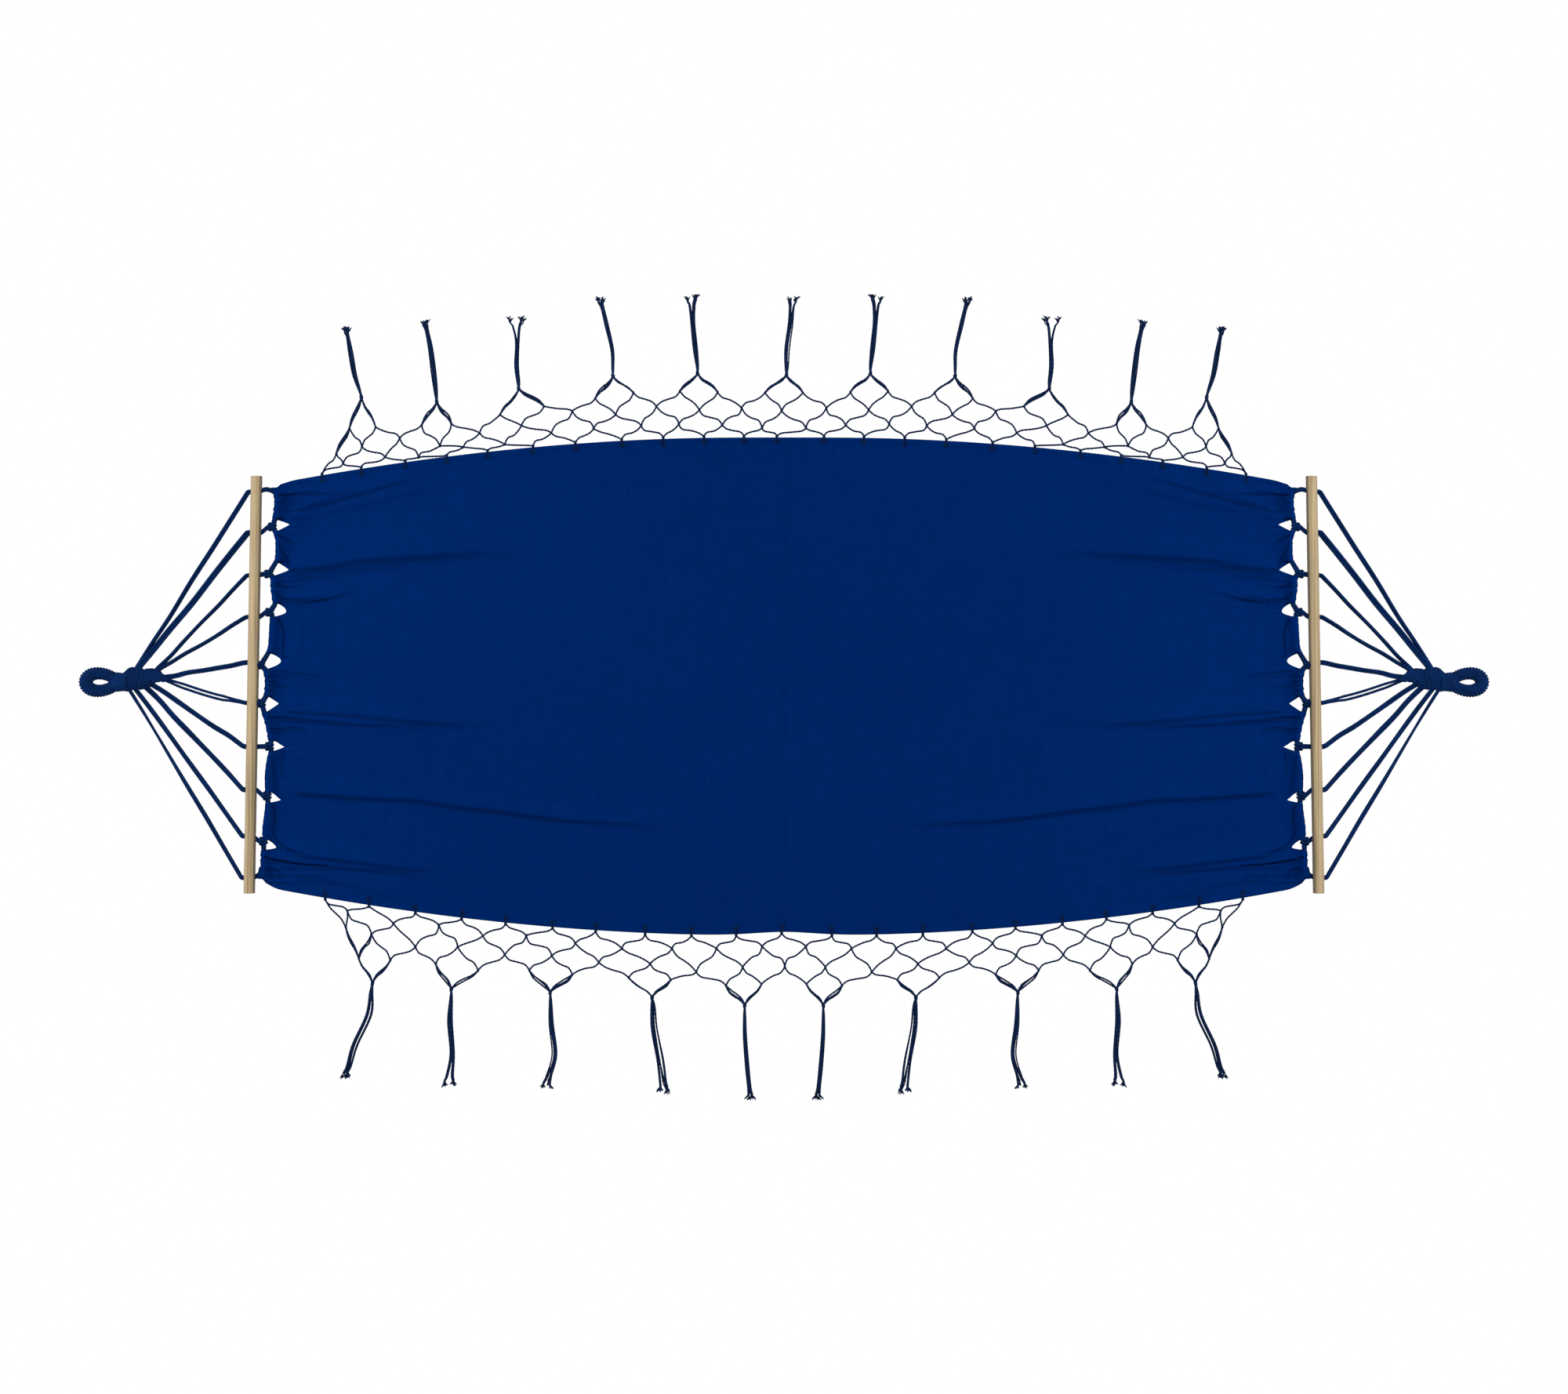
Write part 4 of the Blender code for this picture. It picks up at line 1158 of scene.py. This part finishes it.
    def draw(self):
        """The half from the middle outwards; the other half is its mirror image."""
        spec = self.spec
        middle_head = len(spec["heads"]) == len(spec["row3"]) // 2 + 1
        sewn, row1, row3 = self.sewn(), self.knots("row1"), self.knots("row3")
        row2, heads = self.knots("row2", True), self.knots("heads", middle_head)
        last = len(row1) - 1
        for i in range(last + 1):
            self.strand(sewn[i], row1[i], 1.0)
            self.strand(sewn[i + 1], row1[i], 1.0)
            self.strand(row1[i], row2[i], 1.0)
            self.strand(row1[i], row2[i + 1], 0.6 if i == last else 1.0)
            self.strand(row2[i], row3[i], 0.8, copies=2 if i == last and self.edge < 0 else 1)
            self.strand(row2[i + 1], row3[i], 0.3 if i == last else 0.8, 3 if i == last else 1)
            head = heads[(i + 1) // 2] if middle_head else heads[i // 2]
            self.strand(row3[i], head, 0.35, copies=3 if i % 3 else 2)
            self.knot(row1[i])
            self.knot(row3[i])
        self.strand(sewn[-1], row2[-1], 0.6)
        for i in range(1, last + 2):
            self.knot(row2[i])
            self.knot(sewn[i], 1.2)
            self.stitches(sewn[i])
        for i in range(1 if middle_head else 0, len(heads)):
            self.tassel(heads[i], *spec["tassels"][i])
        if self.sign < 0:
            return
        # what lies on the middle line belongs to the +X half alone
        self.stitches(sewn[0])
        self.knot(sewn[0], 1.2)
        self.knot(row2[0])
        if middle_head:
            self.tassel(heads[0], *spec["tassels"][0])


def fringe(edge_name, end):
    net = Net(FRINGES[edge_name], end)
    net.draw()
    node = "fringe_%s_" % edge_name
    obj = net.shape.build(node + end + "_net", NET_CORD, end)
    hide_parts(node + end, *([node + "center"] if end == "left" else []))
    bend_at_fold(obj)
    return obj


# ---- stage ----
FLOOR_HALF = 60.0  # wide enough that low views show no horizon
PICTURE_WIDTH = 3.0  # of ground across the picture
FOCAL, SENSOR = 70.0, 36.0


def area_light(name, place, target, size, power):
    data = bpy.data.lights.new(name, "AREA")
    data.shape = "RECTANGLE"
    data.size, data.size_y = size
    data.energy = power
    obj = bpy.data.objects.new(name, data)
    obj.location = place
    obj.rotation_euler = (Vector(target) - Vector(place)).to_track_quat("-Z", "Y").to_euler()
    bpy.context.collection.objects.link(obj)


def stage():
    mesh = bpy.data.meshes.new("floor")
    far = FLOOR_HALF
    mesh.from_pydata([(-far, -far, 0), (far, -far, 0), (far, far, 0), (-far, far, 0)], [],
                     [(0, 1, 2, 3)])
    mesh.materials.append(floor_material())
    floor = bpy.data.objects.new("floor", mesh)
    bpy.context.collection.objects.link(floor)

    world = bpy.data.worlds.new("studio")
    bpy.context.scene.world = world
    world.use_nodes = True
    background = world.node_tree.nodes["Background"]
    background.inputs["Color"].default_value = (1.0, 1.0, 1.0, 1.0)
    background.inputs["Strength"].default_value = 0.55
    area_light("softbox_back", (0.0, 3.4, 2.2), (0.0, 0.0, 0.0), (4.0, 1.2), 55.0)
    area_light("softbox_left", (-2.7, 0.3, 1.3), (-0.7, 0.0, 0.0), (0.8, 2.4), 58.0)
    area_light("softbox_right", (2.7, 0.3, 1.3), (0.7, 0.0, 0.0), (0.8, 2.4), 58.0)
    bpy.context.scene.view_settings.view_transform = "Standard"


def camera():
    """Straight above the origin."""
    data = bpy.data.cameras.new("camera")
    data.lens = FOCAL
    data.sensor_width = SENSOR
    data.clip_end = 100.0
    obj = bpy.data.objects.new("camera", data)
    obj.location = (0.0, 0.0, PICTURE_WIDTH * FOCAL / SENSOR)
    bpy.context.collection.objects.link(obj)
    bpy.context.scene.camera = obj


def main():
    stage()
    camera()
    sheets = {end: bed(end) for end in SIGNS}
    for end in SIGNS:
        edge_rope(end)
        spreader_bar(end)
        for k in range(CORDS):
            link(end, k)
            clew_cord(end, k)
        neck(end)
        whipping(end)
        hanging_eye(end)
        nets = [fringe(edge_name, end) for edge_name in FRINGES]


main()
